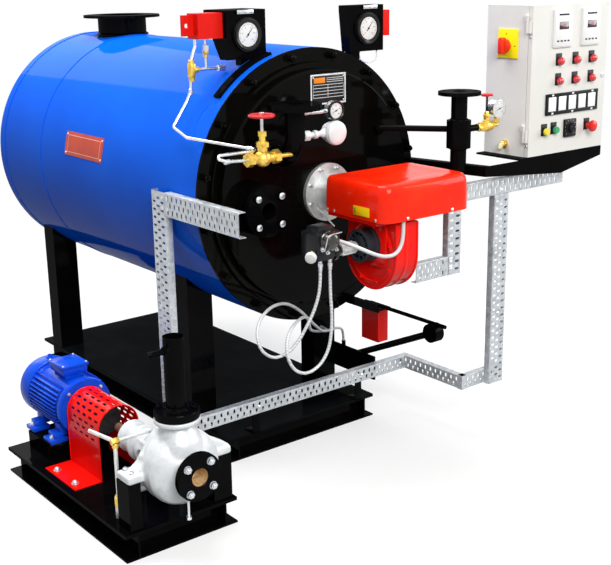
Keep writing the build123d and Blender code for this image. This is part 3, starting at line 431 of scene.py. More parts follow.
outlet_x, outlet_y, outlet_top = -188, door_face - 112, 1219
pipe_radius, stand_x, stand_y = 30, 411, front - 270
bm = bmesh.new()
weld(bm, seat((outlet_x, door_face - 8, 1050), to_front), pipe_radius, 7)
weld(bm, seat((outlet_x, outlet_y, outlet_top - 18), down), pipe_radius, 6)
weld(bm, seat((return_x, door_face - 20, return_z), to_front), pipe_radius, 7)
weld(bm, seat((0, 437.5, 1366)), 95, 9)
weld(bm, seat((stand_x, stand_y, 1032), down), 26, 6)
weld(bm, seat((stand_x, stand_y, 1123)), 26, 6)
weld(bm, seat((stand_x, stand_y, 1205), down), 26, 5)
piece("weld_beads", bm, black_enamel)

# Dial gauges: stamped white faces under a black steel bezel, with printed scale and a pointer.
# Enamelled faces are flat white with a faint sheen from the glass.
face_white = enamel("face_white", "white_plastic", "#E4E4E2", "#DCDCDA", rough=(0.12, 0.18), ripple=0.0,
                    coat=0.5)
scale_ink = enamel("scale_ink", "black_plastic", "#17171A", "#202024", rough=(0.3, 0.4), ripple=0.0,
                   coat=0.3)
bezel_black = enamel("bezel_black", "black_paint", "#121213", "#1C1C1E", rough=(0.2, 0.32), ripple=0.03,
                     coat=0.3)
dress(bezel_black, "pressure_gauge_left", "pressure_gauge_right")


def shift(x, y, z):
    return Matrix.Translation((x, y, z))


def figures(bm, spot, words, tall):
    """Raised figures at places on a face: (text, x, y) in the seat's own plane, in mm."""
    for text, x, y in words:
        curve = bpy.data.curves.new("figure", "FONT")
        curve.body = text
        curve.size = tall
        curve.extrude = 0.08
        curve.align_x = "CENTER"
        curve.align_y = "CENTER"
        holder = bpy.data.objects.new("figure", curve)
        scene.collection.objects.link(holder)
        bpy.context.view_layer.update()
        drawn = bpy.data.meshes.new_from_object(holder.evaluated_get(bpy.context.evaluated_depsgraph_get()))
        drawn.transform(spot @ shift(x, y, 0))
        bm.from_mesh(drawn)
        bpy.data.objects.remove(holder)
        bpy.data.curves.remove(curve)
        bpy.data.meshes.remove(drawn)


def dial_face(name, centre, radius, figure_list, pointer_at, body="heater", ring=True, wide_ring=6.5):
    """Face, scale, figures and pointer of a gauge that looks towards -Y."""
    spot = seat(centre, to_front)
    bm = bmesh.new()
    lathe(bm, spot, [(0, 0.4), (radius * 0.97, 0.4), (radius, 0.1), (radius, 0)], 64)
    piece(name + "_face", bm, face_white, body)
    bm = bmesh.new()
    for i in range(51):
        long, half = (radius * 0.16, 0.012) if i % 5 == 0 else (radius * 0.09, 0.006)
        slab(bm, spot @ spin(225 - 270 * i / 50),
             rectangle(radius * 0.9 - long, radius * 0.9, -radius * half, radius * half), 0.4, 0.55)
    step = 270 / (len(figure_list) - 1)
    words = [(text, *polar(radius * 0.6, 225 - step * i)) for i, text in enumerate(figure_list)]
    figures(bm, spot @ shift(0, 0, 0.45), words, radius * 0.2)
    arm = spot @ spin(225 - 270 * pointer_at)
    slab(bm, arm, [(-radius * 0.3, -radius * 0.04), (-radius * 0.3, radius * 0.04),
                   (radius * 0.1, radius * 0.035), (radius * 0.8, radius * 0.008),
                   (radius * 0.8, -radius * 0.008), (radius * 0.1, -radius * 0.035)], 1.2, 1.8, 0.1)
    lathe(bm, spot, [(radius * 0.09, 0.4), (radius * 0.09, 2.2), (radius * 0.05, 2.8), (0, 2.9)], 24)
    piece(name + "_scale", bm, scale_ink, body)
    if ring:
        bm = bmesh.new()
        lathe(bm, spot, [(radius, 0), (radius + 0.5, 3), (radius + 1.5, 4.2),
                         (radius + wide_ring - 2, 5.5), (radius + wide_ring, 3.5),
                         (radius + wide_ring, -3)], 64)
        piece(name + "_bezel", bm, bezel_black, body)


pressure_figures = ["0", "2", "4", "6", "8", "10"]
dial_face("gauge_left", (-184.5, front + 70, 1413.5), 37, pressure_figures, 0.65, wide_ring=12)
dial_face("gauge_right", (281, front + 30, 1413.5), 37, pressure_figures, 0.65, wide_ring=12)
dial_face("gauge_stand", (591, front - 284, 1146), 28, pressure_figures, 0.1, ring=False)
dial_face("thermometer", (-38, outlet_y - 14, 1186), 24, ["0", "100", "200", "300", "400"], 0.08)
steel_case = metal("case_steel", "steel", "#D9DBDC", "#BFC2C4", rough=0.25, patch_mm=30)
dress(steel_case, "stand_gauge", "dial_thermometer")

# Control panel: folded steel enclosure and door in pale textured powder coat, door furniture bought in.
# Powder coat flows into a fine even peel, so its shine is soft and its edges are round.
powder_coat = enamel("powder_coat", "panel_grey", "#DEDDD7", "#E4E2DD", rough=(0.36, 0.46), ripple_mm=2.5,
                     ripple=0.12, coat=0.0)
dress(powder_coat, "panel_enclosure", "panel_door")
panel_x, panel_z, panel_face = 678, 975, front - 340
black_moulding = enamel("black_moulding", "black_plastic", "#161618", "#202022", rough=(0.3, 0.45),
                        ripple_mm=3, ripple=0.05, coat=0.0)
white_moulding = enamel("white_moulding", "white_plastic", "#E9E9E7", "#E1E1DF", rough=(0.26, 0.36),
                        ripple_mm=3, ripple=0.03, coat=0.1)


def round_box(x0, x1, y0, y1, corner, steps=5):
    """Outline of a rectangle with round corners."""
    points = []
    for cx, cy, start in ((x1 - corner, y1 - corner, 0), (x0 + corner, y1 - corner, 90),
                          (x0 + corner, y0 + corner, 180), (x1 - corner, y0 + corner, 270)):
        for i in range(steps + 1):
            a = radians(start + 90 * i / steps)
            points.append((cx + corner * cos(a), cy + corner * sin(a)))
    return points


# Two temperature controllers: white moulded fronts with a dark red window and four keys.
# Each clips into a square cut-out, so a thin seam runs round its frame.
window_red, tree, shader, place = new_finish("smoked_window", "red_plastic")
plug(shader, {"Base Color": "#2C0409", "Roughness": 0.08, "Specular IOR Level": 0.6})
digit_red, tree, shader, place = new_finish("lit_digits", "red_plastic")
plug(shader, {"Base Color": "#8C1220", "Emission Color": "#C01A26", "Emission Strength": 0.25,
              "Roughness": 0.3})
controller_z = panel_z + 426
frames, windows, keys, digits = bmesh.new(), bmesh.new(), bmesh.new(), bmesh.new()
for x in (panel_x + 150, panel_x + 300):
    spot = seat((x, panel_face, controller_z), to_front)
    slab(frames, spot, round_box(-48, 48, -64, 64, 5), 0, 6.5, 0.8)
    slab(frames, spot, round_box(-44.5, 44.5, -60, 60, 3), 6, 8, 0.7)
    slab(windows, spot, round_box(-23, 27, -4, 22, 1.5), 7, 8.4, 0.3)
    slab(keys, spot, round_box(-26, 26, 42, 48, 1), 7, 8.5, 0.2)
    for i in range(4):
        slab(keys, spot @ shift(-27 + 18 * i, -42, 0), round_box(-5, 5, -2.6, 2.6, 1.6), 7, 9, 0.5)
    figures(digits, seat((x, panel_face - 8.4, controller_z), to_front), [("180", 2, 9)], 15)
controllers = piece("controller_frames", frames, white_moulding, "panel_door")
piece("controller_windows", windows, window_red, "panel_door")
piece("controller_keys", keys, black_moulding, "panel_door")
piece("controller_digits", digits, digit_red, "panel_door")

# Alarm lights: a black moulded frame with five blank opal windows behind it.
# Opal acrylic is white and even, with a clear gloss.
opal, tree, shader, place = new_finish("opal_acrylic", "white_plastic")
plug(shader, {"Base Color": "#F1F4F6", "Roughness": 0.14, "Subsurface Weight": 0.25,
              "Subsurface Radius": (0.004, 0.004, 0.004)})
alarm_pitch = 53.4
spot = seat((panel_x + 219, panel_face, panel_z + 172), to_front)
bm = bmesh.new()
slab(bm, spot, round_box(-140, 140, -36, 36, 4), 0, 2.2, 0.5)
for y0, y1 in ((-36, -25), (25, 36)):
    slab(bm, spot, rectangle(-140, 140, y0, y1), 1, 6, 0.8)
for i in range(6):
    x = -139.5 + alarm_pitch * i
    slab(bm, spot, rectangle(x, x + 12, -35.5, 35.5), 1, 5.8, 0.8)
alarm = piece("alarm_frame", bm, black_moulding, "panel_door")
bm = bmesh.new()
for i in range(5):
    x = -127.5 + alarm_pitch * i
    slab(bm, spot, round_box(x + 1, x + 40.4, -24, 24, 1.5), 2, 5, 0.8)
piece("alarm_windows", bm, opal, "panel_door")
bm = bmesh.new()
for i in (0, 2, 4):
    for y in (-31, 31):
        slab(bm, spot @ shift(-107 + alarm_pitch * i, y, 0), rectangle(-5, 5, -3.2, 3.2), 5.5, 7.2, 0.4)
piece("alarm_clips", bm, white_moulding, "panel_door")

# Timer: black square moulding with a raised round dial and its pointer ridge.
# The dial turns by hand and has a finely cut rim.
spot = seat((panel_x + 212, panel_face, panel_z + 83), to_front)
bm = bmesh.new()
slab(bm, spot, round_box(-31, 31, -31, 31, 4), 0, 8, 1.2)
lathe(bm, spot, [(25, 8), (25, 9.5), (22, 10.5), (17, 10.8), (16, 20), (14.5, 21.5), (0, 21.5)], 48)
for x, y in around(24, 16.2):
    lathe(bm, spot @ shift(x, y, 0), [(1.1, 10), (1.1, 19.5), (0, 20)], 6)
slab(bm, spot @ Matrix.Rotation(0.5, 4, "Z"), rectangle(-14, 14, -2, 2), 21, 24, 0.8)
timer = piece("timer", bm, black_moulding, "panel_door")
bm = bmesh.new()
for i in range(11):
    slab(bm, spot @ spin(225 - 27 * i), rectangle(26, 29.5, -0.5, 0.5), 8, 8.2)
slab(bm, spot @ Matrix.Rotation(0.5, 4, "Z"), rectangle(5, 13, -0.6, 0.6), 24, 24.3)
piece("timer_marks", bm, white_moulding, "panel_door")

# Six signal lamps: red domed lenses in black collars, each on a plain black legend plate.
# A moulded lens is clear red over fine inner ribs, so it has one small hard highlight.


def clear_colour(name, slot, code, dark_code, rough=0.1, ribs_mm=3.0):
    """Clear coloured plastic over fine ribs, seen as two near tones under a hard gloss."""
    material, tree, shader, place = new_finish(name, slot)
    ribs = add(tree, "TexWave", {"Scale": 1000 / ribs_mm / 6.28, "Distortion": 1.0, "bands_direction": "X",
                                 "Vector": place})
    tone = add(tree, "Mix", {"data_type": "RGBA", 6: code, 7: dark_code, 0: ribs})
    plug(shader, {"Base Color": tone, "Roughness": rough, "Coat Weight": 0.5, "Coat Roughness": 0.04})
    return material


lens_red = clear_colour("lens_red", "red_plastic", "#E8202A", "#B5101C")
plates, collars, domes = bmesh.new(), bmesh.new(), bmesh.new()
lamp_spots = [(panel_x + c, panel_z + r) for r in (317, 250) for c in (140, 228, 316)]
button_spots = [(panel_x + 78, panel_z + 82), (panel_x + 128, panel_z + 84)]
mushroom_spot = (panel_x + 308, panel_z + 82)
for x, z in lamp_spots + button_spots + [mushroom_spot]:
    spot = seat((x, panel_face, z), to_front)
    slab(plates, spot, round_box(-15, 15, -15, 26, 2), 0, 2.2, 0.5)
for x, z in lamp_spots:
    spot = seat((x, panel_face, z), to_front)
    lathe(collars, spot, [(14.5, 2), (14.5, 5), (13.5, 6.5), (12.4, 6.8)], 36)
    lathe(domes, spot, [(12.6, 4), (12.6, 15), (11.8, 18.5), (9.5, 20.8), (6, 22), (0, 22.4)], 36)
piece("legend_plates", plates, black_moulding, "panel_door")
lamp_domes = piece("lamp_domes", domes, lens_red, "panel_door")

# Push buttons and emergency stop: yellow and green caps in black collars, and a red mushroom head.
# The moulded caps are glossy, the mushroom's head a little flat on top.
button_yellow = clear_colour("button_yellow", None, "#F0E21E", "#DCCB10", rough=0.2)
button_green = clear_colour("button_green", None, "#1FA868", "#138A52", rough=0.2)
mushroom_red = enamel("mushroom_red", "red_plastic", "#E5231B", "#D41A14", rough=(0.15, 0.25), ripple=0.02,
                      coat=0.4)
for (x, z), finish, name in zip(button_spots, (button_yellow, button_green),
                                ("start_button", "reset_button")):
    spot = seat((x, panel_face, z), to_front)
    lathe(collars, spot, [(14.5, 2), (14.5, 7), (13.5, 9), (12.2, 9.4)], 36)
    bm = bmesh.new()
    lathe(bm, spot, [(12.2, 4), (12.2, 17.5), (11, 19.5), (0, 20.2)], 36)
    piece(name, bm, finish, "panel_door")
x, z = mushroom_spot
spot = seat((x, panel_face, z), to_front)
lathe(collars, spot, [(14.5, 2), (14.5, 6), (13, 8), (9, 8.2)], 36)
piece("button_collars", collars, black_moulding, "panel_door")
bm = bmesh.new()
lathe(bm, spot, [(12, 6), (12, 22), (18.5, 23), (20, 26), (20, 31), (18.5, 35), (14, 37.4), (0, 38.2)], 48)
piece("stop_mushroom", bm, mushroom_red, "panel_door")

# Door lock, hinge screws and cable gland: turned metal parts fixed through the sheet.
# The gland is plain brass with a cream seal nut.
brass = metal("brass", "brass", "#E8C05C", "#B98A34", rough=0.3, patch_mm=14, metallic=0.9)
seal_cream = enamel("seal_cream", "white_plastic", "#E4D9A8", "#D6C98F", rough=(0.4, 0.5), ripple=0.02,
                    coat=0.0)
bm = bmesh.new()
spot = seat((panel_x + 383, panel_face, 1228), to_front)
lathe(bm, spot, [(9, 0), (9, 2), (7.5, 3.2), (5, 3.4), (4, 1.5), (0, 1.5)], 32)
for z in (panel_z + 38, panel_z + 403):
    lathe(bm, seat((panel_x, panel_face + 8, z), to_left), [(4, 0), (4, 1.2), (3, 2.4), (0, 2.8)], 16)
piece("door_lock", bm, zinc_plate, "panel_door")
bm = bmesh.new()
gland_y, gland_z = front - 236, 1012
gland = seat((panel_x, gland_y, gland_z), to_left)
slab(bm, gland, hexagon(26), 0, 7, 1)
lathe(bm, gland, [(11, 7), (11, 16), (9, 18), (0, 18)], 28)
piece("panel_gland", bm, brass)
bm = bmesh.new()
lathe(bm, seat((panel_x - 17, gland_y, gland_z), (-0.5, 0, -0.87)),
      [(7, -4), (8, 0), (8, 16), (6, 20), (0, 20)], 24)
piece("gland_plug", bm, seal_cream)

# Isolator: yellow plate screwed to the side, and a red turning handle on its boss.
# Both are glossy moulded thermoset; the handle's grip is oval with soft edges.
plate_yellow = enamel("plate_yellow", None, "#F7E51A", "#EFDB10", rough=(0.25, 0.36), ripple=0.02, coat=0.2)
handle_red = enamel("handle_red", "red_plastic", "#F0391C", "#E22A14", rough=(0.18, 0.3), ripple=0.02,
                    coat=0.4)
isolator_y, isolator_z = panel_face + 112, 1346
plate_seat = seat((panel_x, isolator_y, isolator_z), to_left)
bm = bmesh.new()
slab(bm, plate_seat, round_box(-36, 52, -42, 56, 4), 0, 3.3, 0.6)
piece("isolator_plate", bm, plate_yellow)
bm = bmesh.new()
for a in (90, 0):
    slab(bm, plate_seat @ spin(a), rectangle(36, 42, -1.4, 1.4), 3.2, 3.5)
piece("isolator_marks", bm, black_moulding)
bm = bmesh.new()
lathe(bm, plate_seat, [(22, 3.6), (23, 5), (23, 10), (21, 13), (16, 14.5), (0, 15)], 48)
slab(bm, plate_seat, [(-20, 0), (-16, 14), (-7, 28), (7, 28), (16, 14), (20, 0), (16, -14), (7, -28),
                      (-7, -28), (-16, -14)], 12, 20, 3)
slab(bm, plate_seat, round_box(-9, 9, -28, 28, 8.9, 8), 18, 34, 4)
handle = piece("isolator_handle", bm, handle_red, "isolator_knob")
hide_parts("isolator_knob")
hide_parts("door_lamps")
for made in (controllers, alarm, timer):
    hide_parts("door_instruments")

# Burner cover: a deep moulded hood in glossy orange-red, with large round corners.
# Its front is slightly full, so the light slides down it in one soft band.
burner_red = enamel("burner_red", "burner_red", "#FA2407", "#FF340E", rough=(0.16, 0.26), ripple_mm=30,
                    ripple=0.04, coat=0.25, mirror=0.05)
cover_x, cover_y = (-70, 304), (front - 441, front - 160)


def stitch(bm, rings, ends=False):
    """Joins closed rings of the same count one after another, and closes both ends where asked."""
    for low, high in zip(rings, rings[1:]):
        for i in range(len(low)):
            k = (i + 1) % len(low)
            bm.faces.new((low[i], low[k], high[k], high[i]))
    if ends:
        bm.faces.new(rings[0])
        bm.faces.new(rings[-1])


def hood_ring(bm, inset, fullness, z, corner_front=46, corner_rear=10):
    """One level of the hood: a rectangle with round corners, its long sides a little full."""
    x0, x1 = cover_x[0] + inset, cover_x[1] - inset
    y0, y1 = cover_y[0] + inset, cover_y[1] - inset * 0.3
    points = []
    for cx, cy, radius, start in ((x1, y1, corner_rear, 0), (x0, y1, corner_rear, 90),
                                  (x0, y0, corner_front, 180), (x1, y0, corner_front, 270)):
        radius = max(radius - inset * 0.5, 4)
        cx += -radius if start in (0, 270) else radius
        cy += -radius if start in (0, 90) else radius
        for i in range(9):
            a = radians(start + 90 * i / 8)
            points.append(Vector((cx + radius * cos(a), cy + radius * sin(a), z)))
    closed = []
    for i, p in enumerate(points):
        closed.append(p)
        if i % 9 == 8:
            ahead_point = points[(i + 1) % len(points)]
            for k in range(1, 8):
                between = p.lerp(ahead_point, k / 8)
                swell = fullness * sin(pi * k / 8)
                side = Vector(((p - ahead_point).y, -(p - ahead_point).x, 0)).normalized()
                closed.append(between - side * swell)
    return [bm.verts.new(p / 1000) for p in closed]


bm = bmesh.new()
levels = [(3.5, 1, 879), (0.6, 1, 873.5), (0, 1, 872), (0, 1.5, 876), (0, 2.5, 890), (0, 4, 915),
          (0.6, 4, 940), (2.2, 3, 960), (4.6, 2, 972), (8.5, 1.5, 979.5), (14, 1, 983.6), (22, 0, 985),
          (44, -3, 985.2), (60, -3, 984.6), (66, -3, 984.2), (90, -3, 984.2)]
rings = [hood_ring(bm, *level) for level in levels]
stitch(bm, rings)
bm.faces.new(rings[-1])
bm.faces.new(rings[0])
hood = piece("burner_hood", bm, burner_red, sharp=50)
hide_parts("burner_cover")

# Small fixings of the hood: round screws low on its left side and its front.
# A plain yellow label is stuck on the left face.
bm = bmesh.new()
for x, y, z, along in ((-70.3, front - 397, 880, to_left), (-70.3, front - 172, 880, to_left),
                       (-70.3, front - 205, 880, to_left), (20, front - 444, 881, to_front),
                       (210, front - 444, 881, to_front)):
    lathe(bm, seat((x, y, z), along), [(5, -3), (5, 0.6), (3.6, 1.8), (1.4, 2.2), (1.2, 1.2), (0, 1.2)], 20)
piece("hood_screws", bm, zinc_plate)
label_yellow = enamel("label_yellow", None, "#F2C80C", "#E3B606", rough=(0.3, 0.42), ripple=0.02, coat=0.1)
hood_label_y, hood_label_z = front - 338, 899
bm = bmesh.new()
slab(bm, seat((cover_x[0] - 4.3, hood_label_y, hood_label_z), to_left),
     round_box(-37, 37, -14.5, 14.5, 2), 0, 0.8, 0.2)
piece("hood_label", bm, label_yellow)
bm = bmesh.new()
label_seat = seat((cover_x[0] - 5.1, hood_label_y, hood_label_z), to_left)
for y in (-8, -2, 4):
    slab(bm, label_seat, rectangle(-33, -26, y, y + 2.6), 0, 0.25)
piece("hood_label_marks", bm, scale_ink)

# Burner housing: cast body and fan scroll in red enamel, bolted together along a bead.
# The scroll's side carries a raised plate, and its rim a rolled seam and two lips.
scroll_red = enamel("scroll_red", "burner_red", "#F5140B", "#FC2214", rough=(0.15, 0.26), ripple_mm=24,
                    ripple=0.08, coat=0.25, mirror=0.05)
dress(scroll_red, "burner_housing")
scroll_x, scroll_y, scroll_z, scroll_r = (-4, 88), front - 300, 753, 116
bm = bmesh.new()


def scroll_lip(bm, x, radius, thick):
    """A half-round lip along the scroll's outline, from its outlet down and round the back."""
    path = [Vector((x, scroll_y - scroll_r, scroll_z + 104 - 13 * i)) for i in range(8)]
    path += [Vector((x, scroll_y - scroll_r * cos(radians(a)), scroll_z - scroll_r * sin(radians(a))))
             for a in range(0, 151, 6)]
    rings = []
    for i, p in enumerate(path):
        ahead_point, behind = path[min(i + 1, len(path) - 1)], path[max(i - 1, 0)]
        run = (ahead_point - behind).normalized()
        side = Vector((1, 0, 0))
        up = side.cross(run)
        rings.append([bm.verts.new((p + side * thick * cos(2 * pi * k / 10)
                                    + up * radius * sin(2 * pi * k / 10)) / 1000) for k in range(10)])
    stitch(bm, rings, ends=True)


for x, radius, thick in ((-2, 4.5, 3.5), (40, 3.5, 7), (86, 4.5, 3.5)):
    scroll_lip(bm, x, radius, thick)
side_seat = seat((scroll_x[0], scroll_y, scroll_z), to_left)
slab(bm, side_seat, round_box(-26, 78, -40, 104, 26), -1, 5, 2.2)
lathe(bm, side_seat, [(104, -1), (104, 1.6), (100, 3), (92, 3.2), (90, 0.4), (90, -1)], 96)
for x, y in around(8, 97, 20):
    bolt(bm, side_seat @ shift(x, y, 2.6), 8, 4)
piece("scroll_lips", bm, scroll_red)

# Air intake: moulded black damper housing with ribs, and a flange held by four screws.
# Glass-filled nylon is dark slate and softly dull, with glossier edges.
slate_moulding = enamel("slate_moulding", "black_plastic", "#23282E", "#2D333A", rough=(0.32, 0.48),
                        ripple_mm=4, ripple=0.08, coat=0.1)
intake_seat = side_seat @ shift(0, 28, 0) @ Matrix.Scale(1.08, 4)
bm = bmesh.new()
lathe(bm, intake_seat, [(50, 5), (50, 10), (46, 11.5), (44, 14), (44, 40), (46, 42), (49, 44), (49, 47),
                        (46.5, 48.5), (42, 48.5), (40, 46), (40, 22), (32, 20), (30, 24), (30, 43),
                        (26, 45), (0, 45)], 56)
for i in range(12):
    slab(bm, intake_seat @ spin(30 * i), rectangle(29, 41, -1.6, 1.6), 21, 45, 0.5)
intake = piece("intake_housing", bm, slate_moulding)
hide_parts("air_intake")

# Oil pump: black cast block on the fan's shaft, with a smoked filter bowl under a wire bail.
# Ports, nuts and the plug are zinc-plated; the pressure screw has a white cap.
def brick(bm, low, high, edge=1.0):
    """A block between two corners in the heater's frame, in mm, with eased edges."""
    slab(bm, millimetres, rectangle(low[0], high[0], low[1], high[1]), low[2], high[2], edge)


pump_black = enamel("pump_black", "black_paint", "#141517", "#1E2022", rough=(0.28, 0.42), ripple_mm=2.4,
                    ripple=0.14, coat=0.2)
block_low, block_high = Vector((-250, front - 340, 766)), Vector((-158, front - 260, 870))
bm = bmesh.new()
brick(bm, block_low + Vector((0, 0, 10)), block_high - Vector((0, 0, 14)), 7)
brick(bm, block_low + Vector((14, 10, 0)), block_high - Vector((14, 10, 0)), 5)
for x in (-238, -170):
    for z in (784, 846):
        lathe(bm, seat((x, front - 338, z), to_front), [(9, -6), (9, 3), (7.5, 5), (0, 5)], 24)
bar_seat = seat((-158, front - 300, 781), to_right)
lathe(bm, bar_seat, [(28, -4), (28, 6), (24, 9), (13, 10), (13, 30)], 36)
lathe(bm, bar_seat, [(13, 94), (13, 110)], 36)
pump_body = piece("oil_pump_block", bm, pump_black)
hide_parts("oil_pump")
bm = bmesh.new()
lathe(bm, bar_seat, [(13, 28), (17, 29), (17, 52), (15, 54), (15, 62), (17, 64), (17, 90), (13, 95)], 36)
for a in range(0, 360, 60):
    spot = bar_seat @ spin(a) @ shift(17, 0, 0)
    slab(bm, spot, rectangle(-2, 3, -4, 4), 33, 86, 1)
piece("pump_coupling", bm, cast_alloy)
smoked_bowl, tree, shader, place = new_finish("smoked_bowl", "black_plastic")
plug(shader, {"Base Color": "#1C1512", "Roughness": 0.12, "Coat Weight": 0.6})
bowl_seat = seat((-210, front - 340, 832), to_front)
bm = bmesh.new()
lathe(bm, bowl_seat, [(29, -2), (29, 5), (26, 7), (25, 24), (22, 31), (15, 35), (0, 36)], 44)
piece("filter_bowl", bm, smoked_bowl)


def wire(bm, points, radius, sides=10):
    """A round wire or small tube through points in mm, its bends eased."""
    places = [Vector(p) / 1000 for p in points]
    eased = [places[0]]
    for before, here, after in zip(places, places[1:], places[2:]):
        reach = min((before - here).length, (after - here).length) * 0.4
        start, end = here + (before - here).normalized() * reach, here + (after - here).normalized() * reach
        eased += [start.lerp(here, t).lerp(here.lerp(end, t), t) for t in (0, 0.25, 0.5, 0.75, 1)]
    eased.append(places[-1])
    rings, up = [], None
    for i, p in enumerate(eased):
        run = (eased[min(i + 1, len(eased) - 1)] - eased[max(i - 1, 0)]).normalized()
        if up is None:
            up = run.orthogonal().normalized()
        up = (up - run * up.dot(run)).normalized()
        side = run.cross(up)
        rings.append([bm.verts.new(p + (up * cos(2 * pi * k / sides)
                                        + side * sin(2 * pi * k / sides)) * radius / 1000)
                      for k in range(sides)])
    stitch(bm, rings, ends=True)


bm = bmesh.new()
wire(bm, [(-178, front - 352, 852), (-180, front - 378, 860), (-240, front - 380, 858),
          (-242, front - 372, 820), (-236, front - 352, 806)], 1.4)
piece("pump_bail", bm, zinc_plate)
bm = bmesh.new()
wire(bm, [(-23, front - 60, 861), (-41, front - 125, 843), (-59, front - 190, 826)], 2.6)
piece("air_link_rod", bm, white_moulding)
bm = bmesh.new()
for x, y in ((-198, front - 290), (-168, front - 300)):
    spot = seat((x, y, 766), down)
    slab(bm, spot, hexagon(17), -2, 8, 1)
    lathe(bm, spot, [(6.5, 7), (6.5, 16), (8, 17), (8, 28), (6.6, 30), (6.6, 39), (6, 40)], 24)
    slab(bm, spot, hexagon(15), 17, 26, 1)
for x, z, size in ((-232, 808, 15), (-214, 796, 13), (-196, 806, 12), (-180, 800, 11)):
    spot = seat((x, front - 340, z), to_front)
    slab(bm, spot, hexagon(size), 0, 7, 0.8)
    lathe(bm, spot, [(size * 0.36, 6), (size * 0.36, 12), (size * 0.3, 13), (0, 13)], 20)
piece("pump_fittings", bm, zinc_plate)
bm = bmesh.new()
spot = seat((-250, front - 318, 792), (-0.75, -0.6, -0.25))
slab(bm, spot, hexagon(19), -8, 4, 1)
lathe(bm, spot, [(8, 3), (8, 12), (7, 13), (7, 18)], 24)
piece("pressure_port", bm, brass)
bm = bmesh.new()
lathe(bm, spot, [(9, 14), (15, 15), (17.5, 18), (17.5, 27), (15.5, 30.5), (9, 32), (0, 32.4)], 40)
piece("pressure_cap", bm, white_moulding)

# Globe valve on the door pipe: cast and turned brass, lacquered, with hexagons for the spanner.
# The casting keeps a fine sand skin; the red wheel turns on a threaded steel stem.
cast_brass, tree, shader, place = new_finish("cast_brass", "brass")
sand = add(tree, "TexNoise", {"Scale": 1000 / 1.6, "Detail": 3, "Vector": place})
tarnish = add(tree, "TexNoise", {"Scale": 1000 / 16, "Detail": 4, "Vector": place})
tone = add(tree, "Mix", {"data_type": "RGBA", 6: "#F0CE62", 7: "#B98B33",
                         0: add(tree, "MapRange", {"From Min": 0.42, "From Max": 0.78, "Value": tarnish})})
relief = add(tree, "Bump", {"Strength": 0.2, "Distance": 0.0006, "Height": sand})
plug(shader, {"Base Color": tone, "Normal": relief, "Metallic": 0.8, "Roughness": 0.34})
dress(cast_brass, "globe_valve", "gauge_cock")
wheel_red = enamel("wheel_red", "red_plastic", "#C8252C", "#D8434A", rough=(0.2, 0.34), ripple_mm=6,
                   ripple=0.08, coat=0.3)
bright_steel = metal("bright_steel", "steel", "#DDE0E2", "#B9BDC0", rough=0.24, patch_mm=25, metallic=0.95)
valve_x, valve_z, wheel_z = -312, 1068, 1194
bm = bmesh.new()


def hoop(bm, spot, radius, thick, steps=48, sides=14):
    """A round hoop about the seat's Z."""
    rings = []
    for i in range(steps):
        a = 2 * pi * i / steps
        rings.append([bm.verts.new(spot @ Vector(((radius + thick * cos(2 * pi * k / sides)) * cos(a),
                                   (radius + thick * cos(2 * pi * k / sides)) * sin(a),
                                   thick * sin(2 * pi * k / sides)))) for k in range(sides)])
    stitch(bm, rings + rings[:1])


def hand_wheel(bm, spot, radius, thick, spokes, hub):
    """Rim, dished spokes and hub of a small cast wheel."""
    hoop(bm, spot, radius, thick)
    lathe(bm, spot, [(0, -7), (hub, -7), (hub + 1, -5), (hub + 1, 4), (hub - 1, 6), (0, 6)], 28)
    for i in range(spokes):
        arm = spot @ Matrix.Rotation(2 * pi * i / spokes, 4, "Z")
        slab(bm, arm, [(hub - 1, -4), (radius * 0.6, -2.6), (radius, -4), (radius, 4), (radius * 0.6, 2.6),
                       (hub - 1, 4)], -2.4, 2.2, 1.2)


spot = seat((valve_x, outlet_y, wheel_z))
hand_wheel(bm, spot, 36, 5, 5, 9)
wheel = piece("valve_wheel", bm, wheel_red, "valve_handwheel")
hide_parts("valve_handwheel")
bm = bmesh.new()
lathe(bm, spot, [(0, -88), (4.6, -88), (4.6, -60), (5, -58), (5, -8)], 20)
for i in range(14):
    hoop(bm, spot @ shift(0, 0, -56 + 3.2 * i), 4.8, 0.8, 20, 6)
lathe(bm, spot, [(5, -8), (5, 9), (0, 9)], 20)
slab(bm, spot, hexagon(14), 5.6, 11, 0.8)
piece("valve_stem", bm, bright_steel, "valve_handwheel")

# Gauge cock's handle: red cap wheel on a thin black rod, with its brass gland nut below.
# The cap is moulded, thick and slightly dished.
cock_x, cock_y, branch_z = 543, front - 270, 1090
bm = bmesh.new()
spot = seat((cock_x, cock_y, branch_z + 104))
lathe(bm, spot, [(0, -5), (15, -5), (18.5, -3.4), (19, 0), (18, 3.4), (14, 5), (8, 4.4), (0, 4.4)], 36)
for x, y in around(12, 17.6):
    lathe(bm, spot @ shift(x, y, 0), [(0, -4.4), (2.6, -3.6), (2.6, 2.8), (0, 3.8)], 10)
cap = piece("cock_cap", bm, wheel_red, "cock_handwheel")
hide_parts("cock_handwheel")
bm = bmesh.new()
lathe(bm, seat((cock_x, cock_y, branch_z)), [(0, 25), (3, 25), (3, 101)], 16)
piece("cock_rod", bm, black_enamel, "cock_handwheel")
bm = bmesh.new()
spot = seat((cock_x, cock_y, branch_z))
lathe(bm, spot, [(9, 10), (13, 13), (13, 20), (10, 22), (9.5, 30)], 28)
slab(bm, spot, hexagon(22), 30, 40, 1)
lathe(bm, spot, [(8, 39), (8, 47), (6.5, 50), (3.4, 50)], 24)
ball = seat((cock_x, cock_y, branch_z), to_right)
lathe(bm, ball, [(10, -34), (12, -30), (17, -16), (19, 0), (17, 16), (12, 30), (10, 34)], 32)
slab(bm, ball, hexagon(24), -46, -30, 1)
slab(bm, seat((591, cock_y, branch_z)), hexagon(17), 8, 24, 1)
piece("cock_nuts", bm, cast_brass)

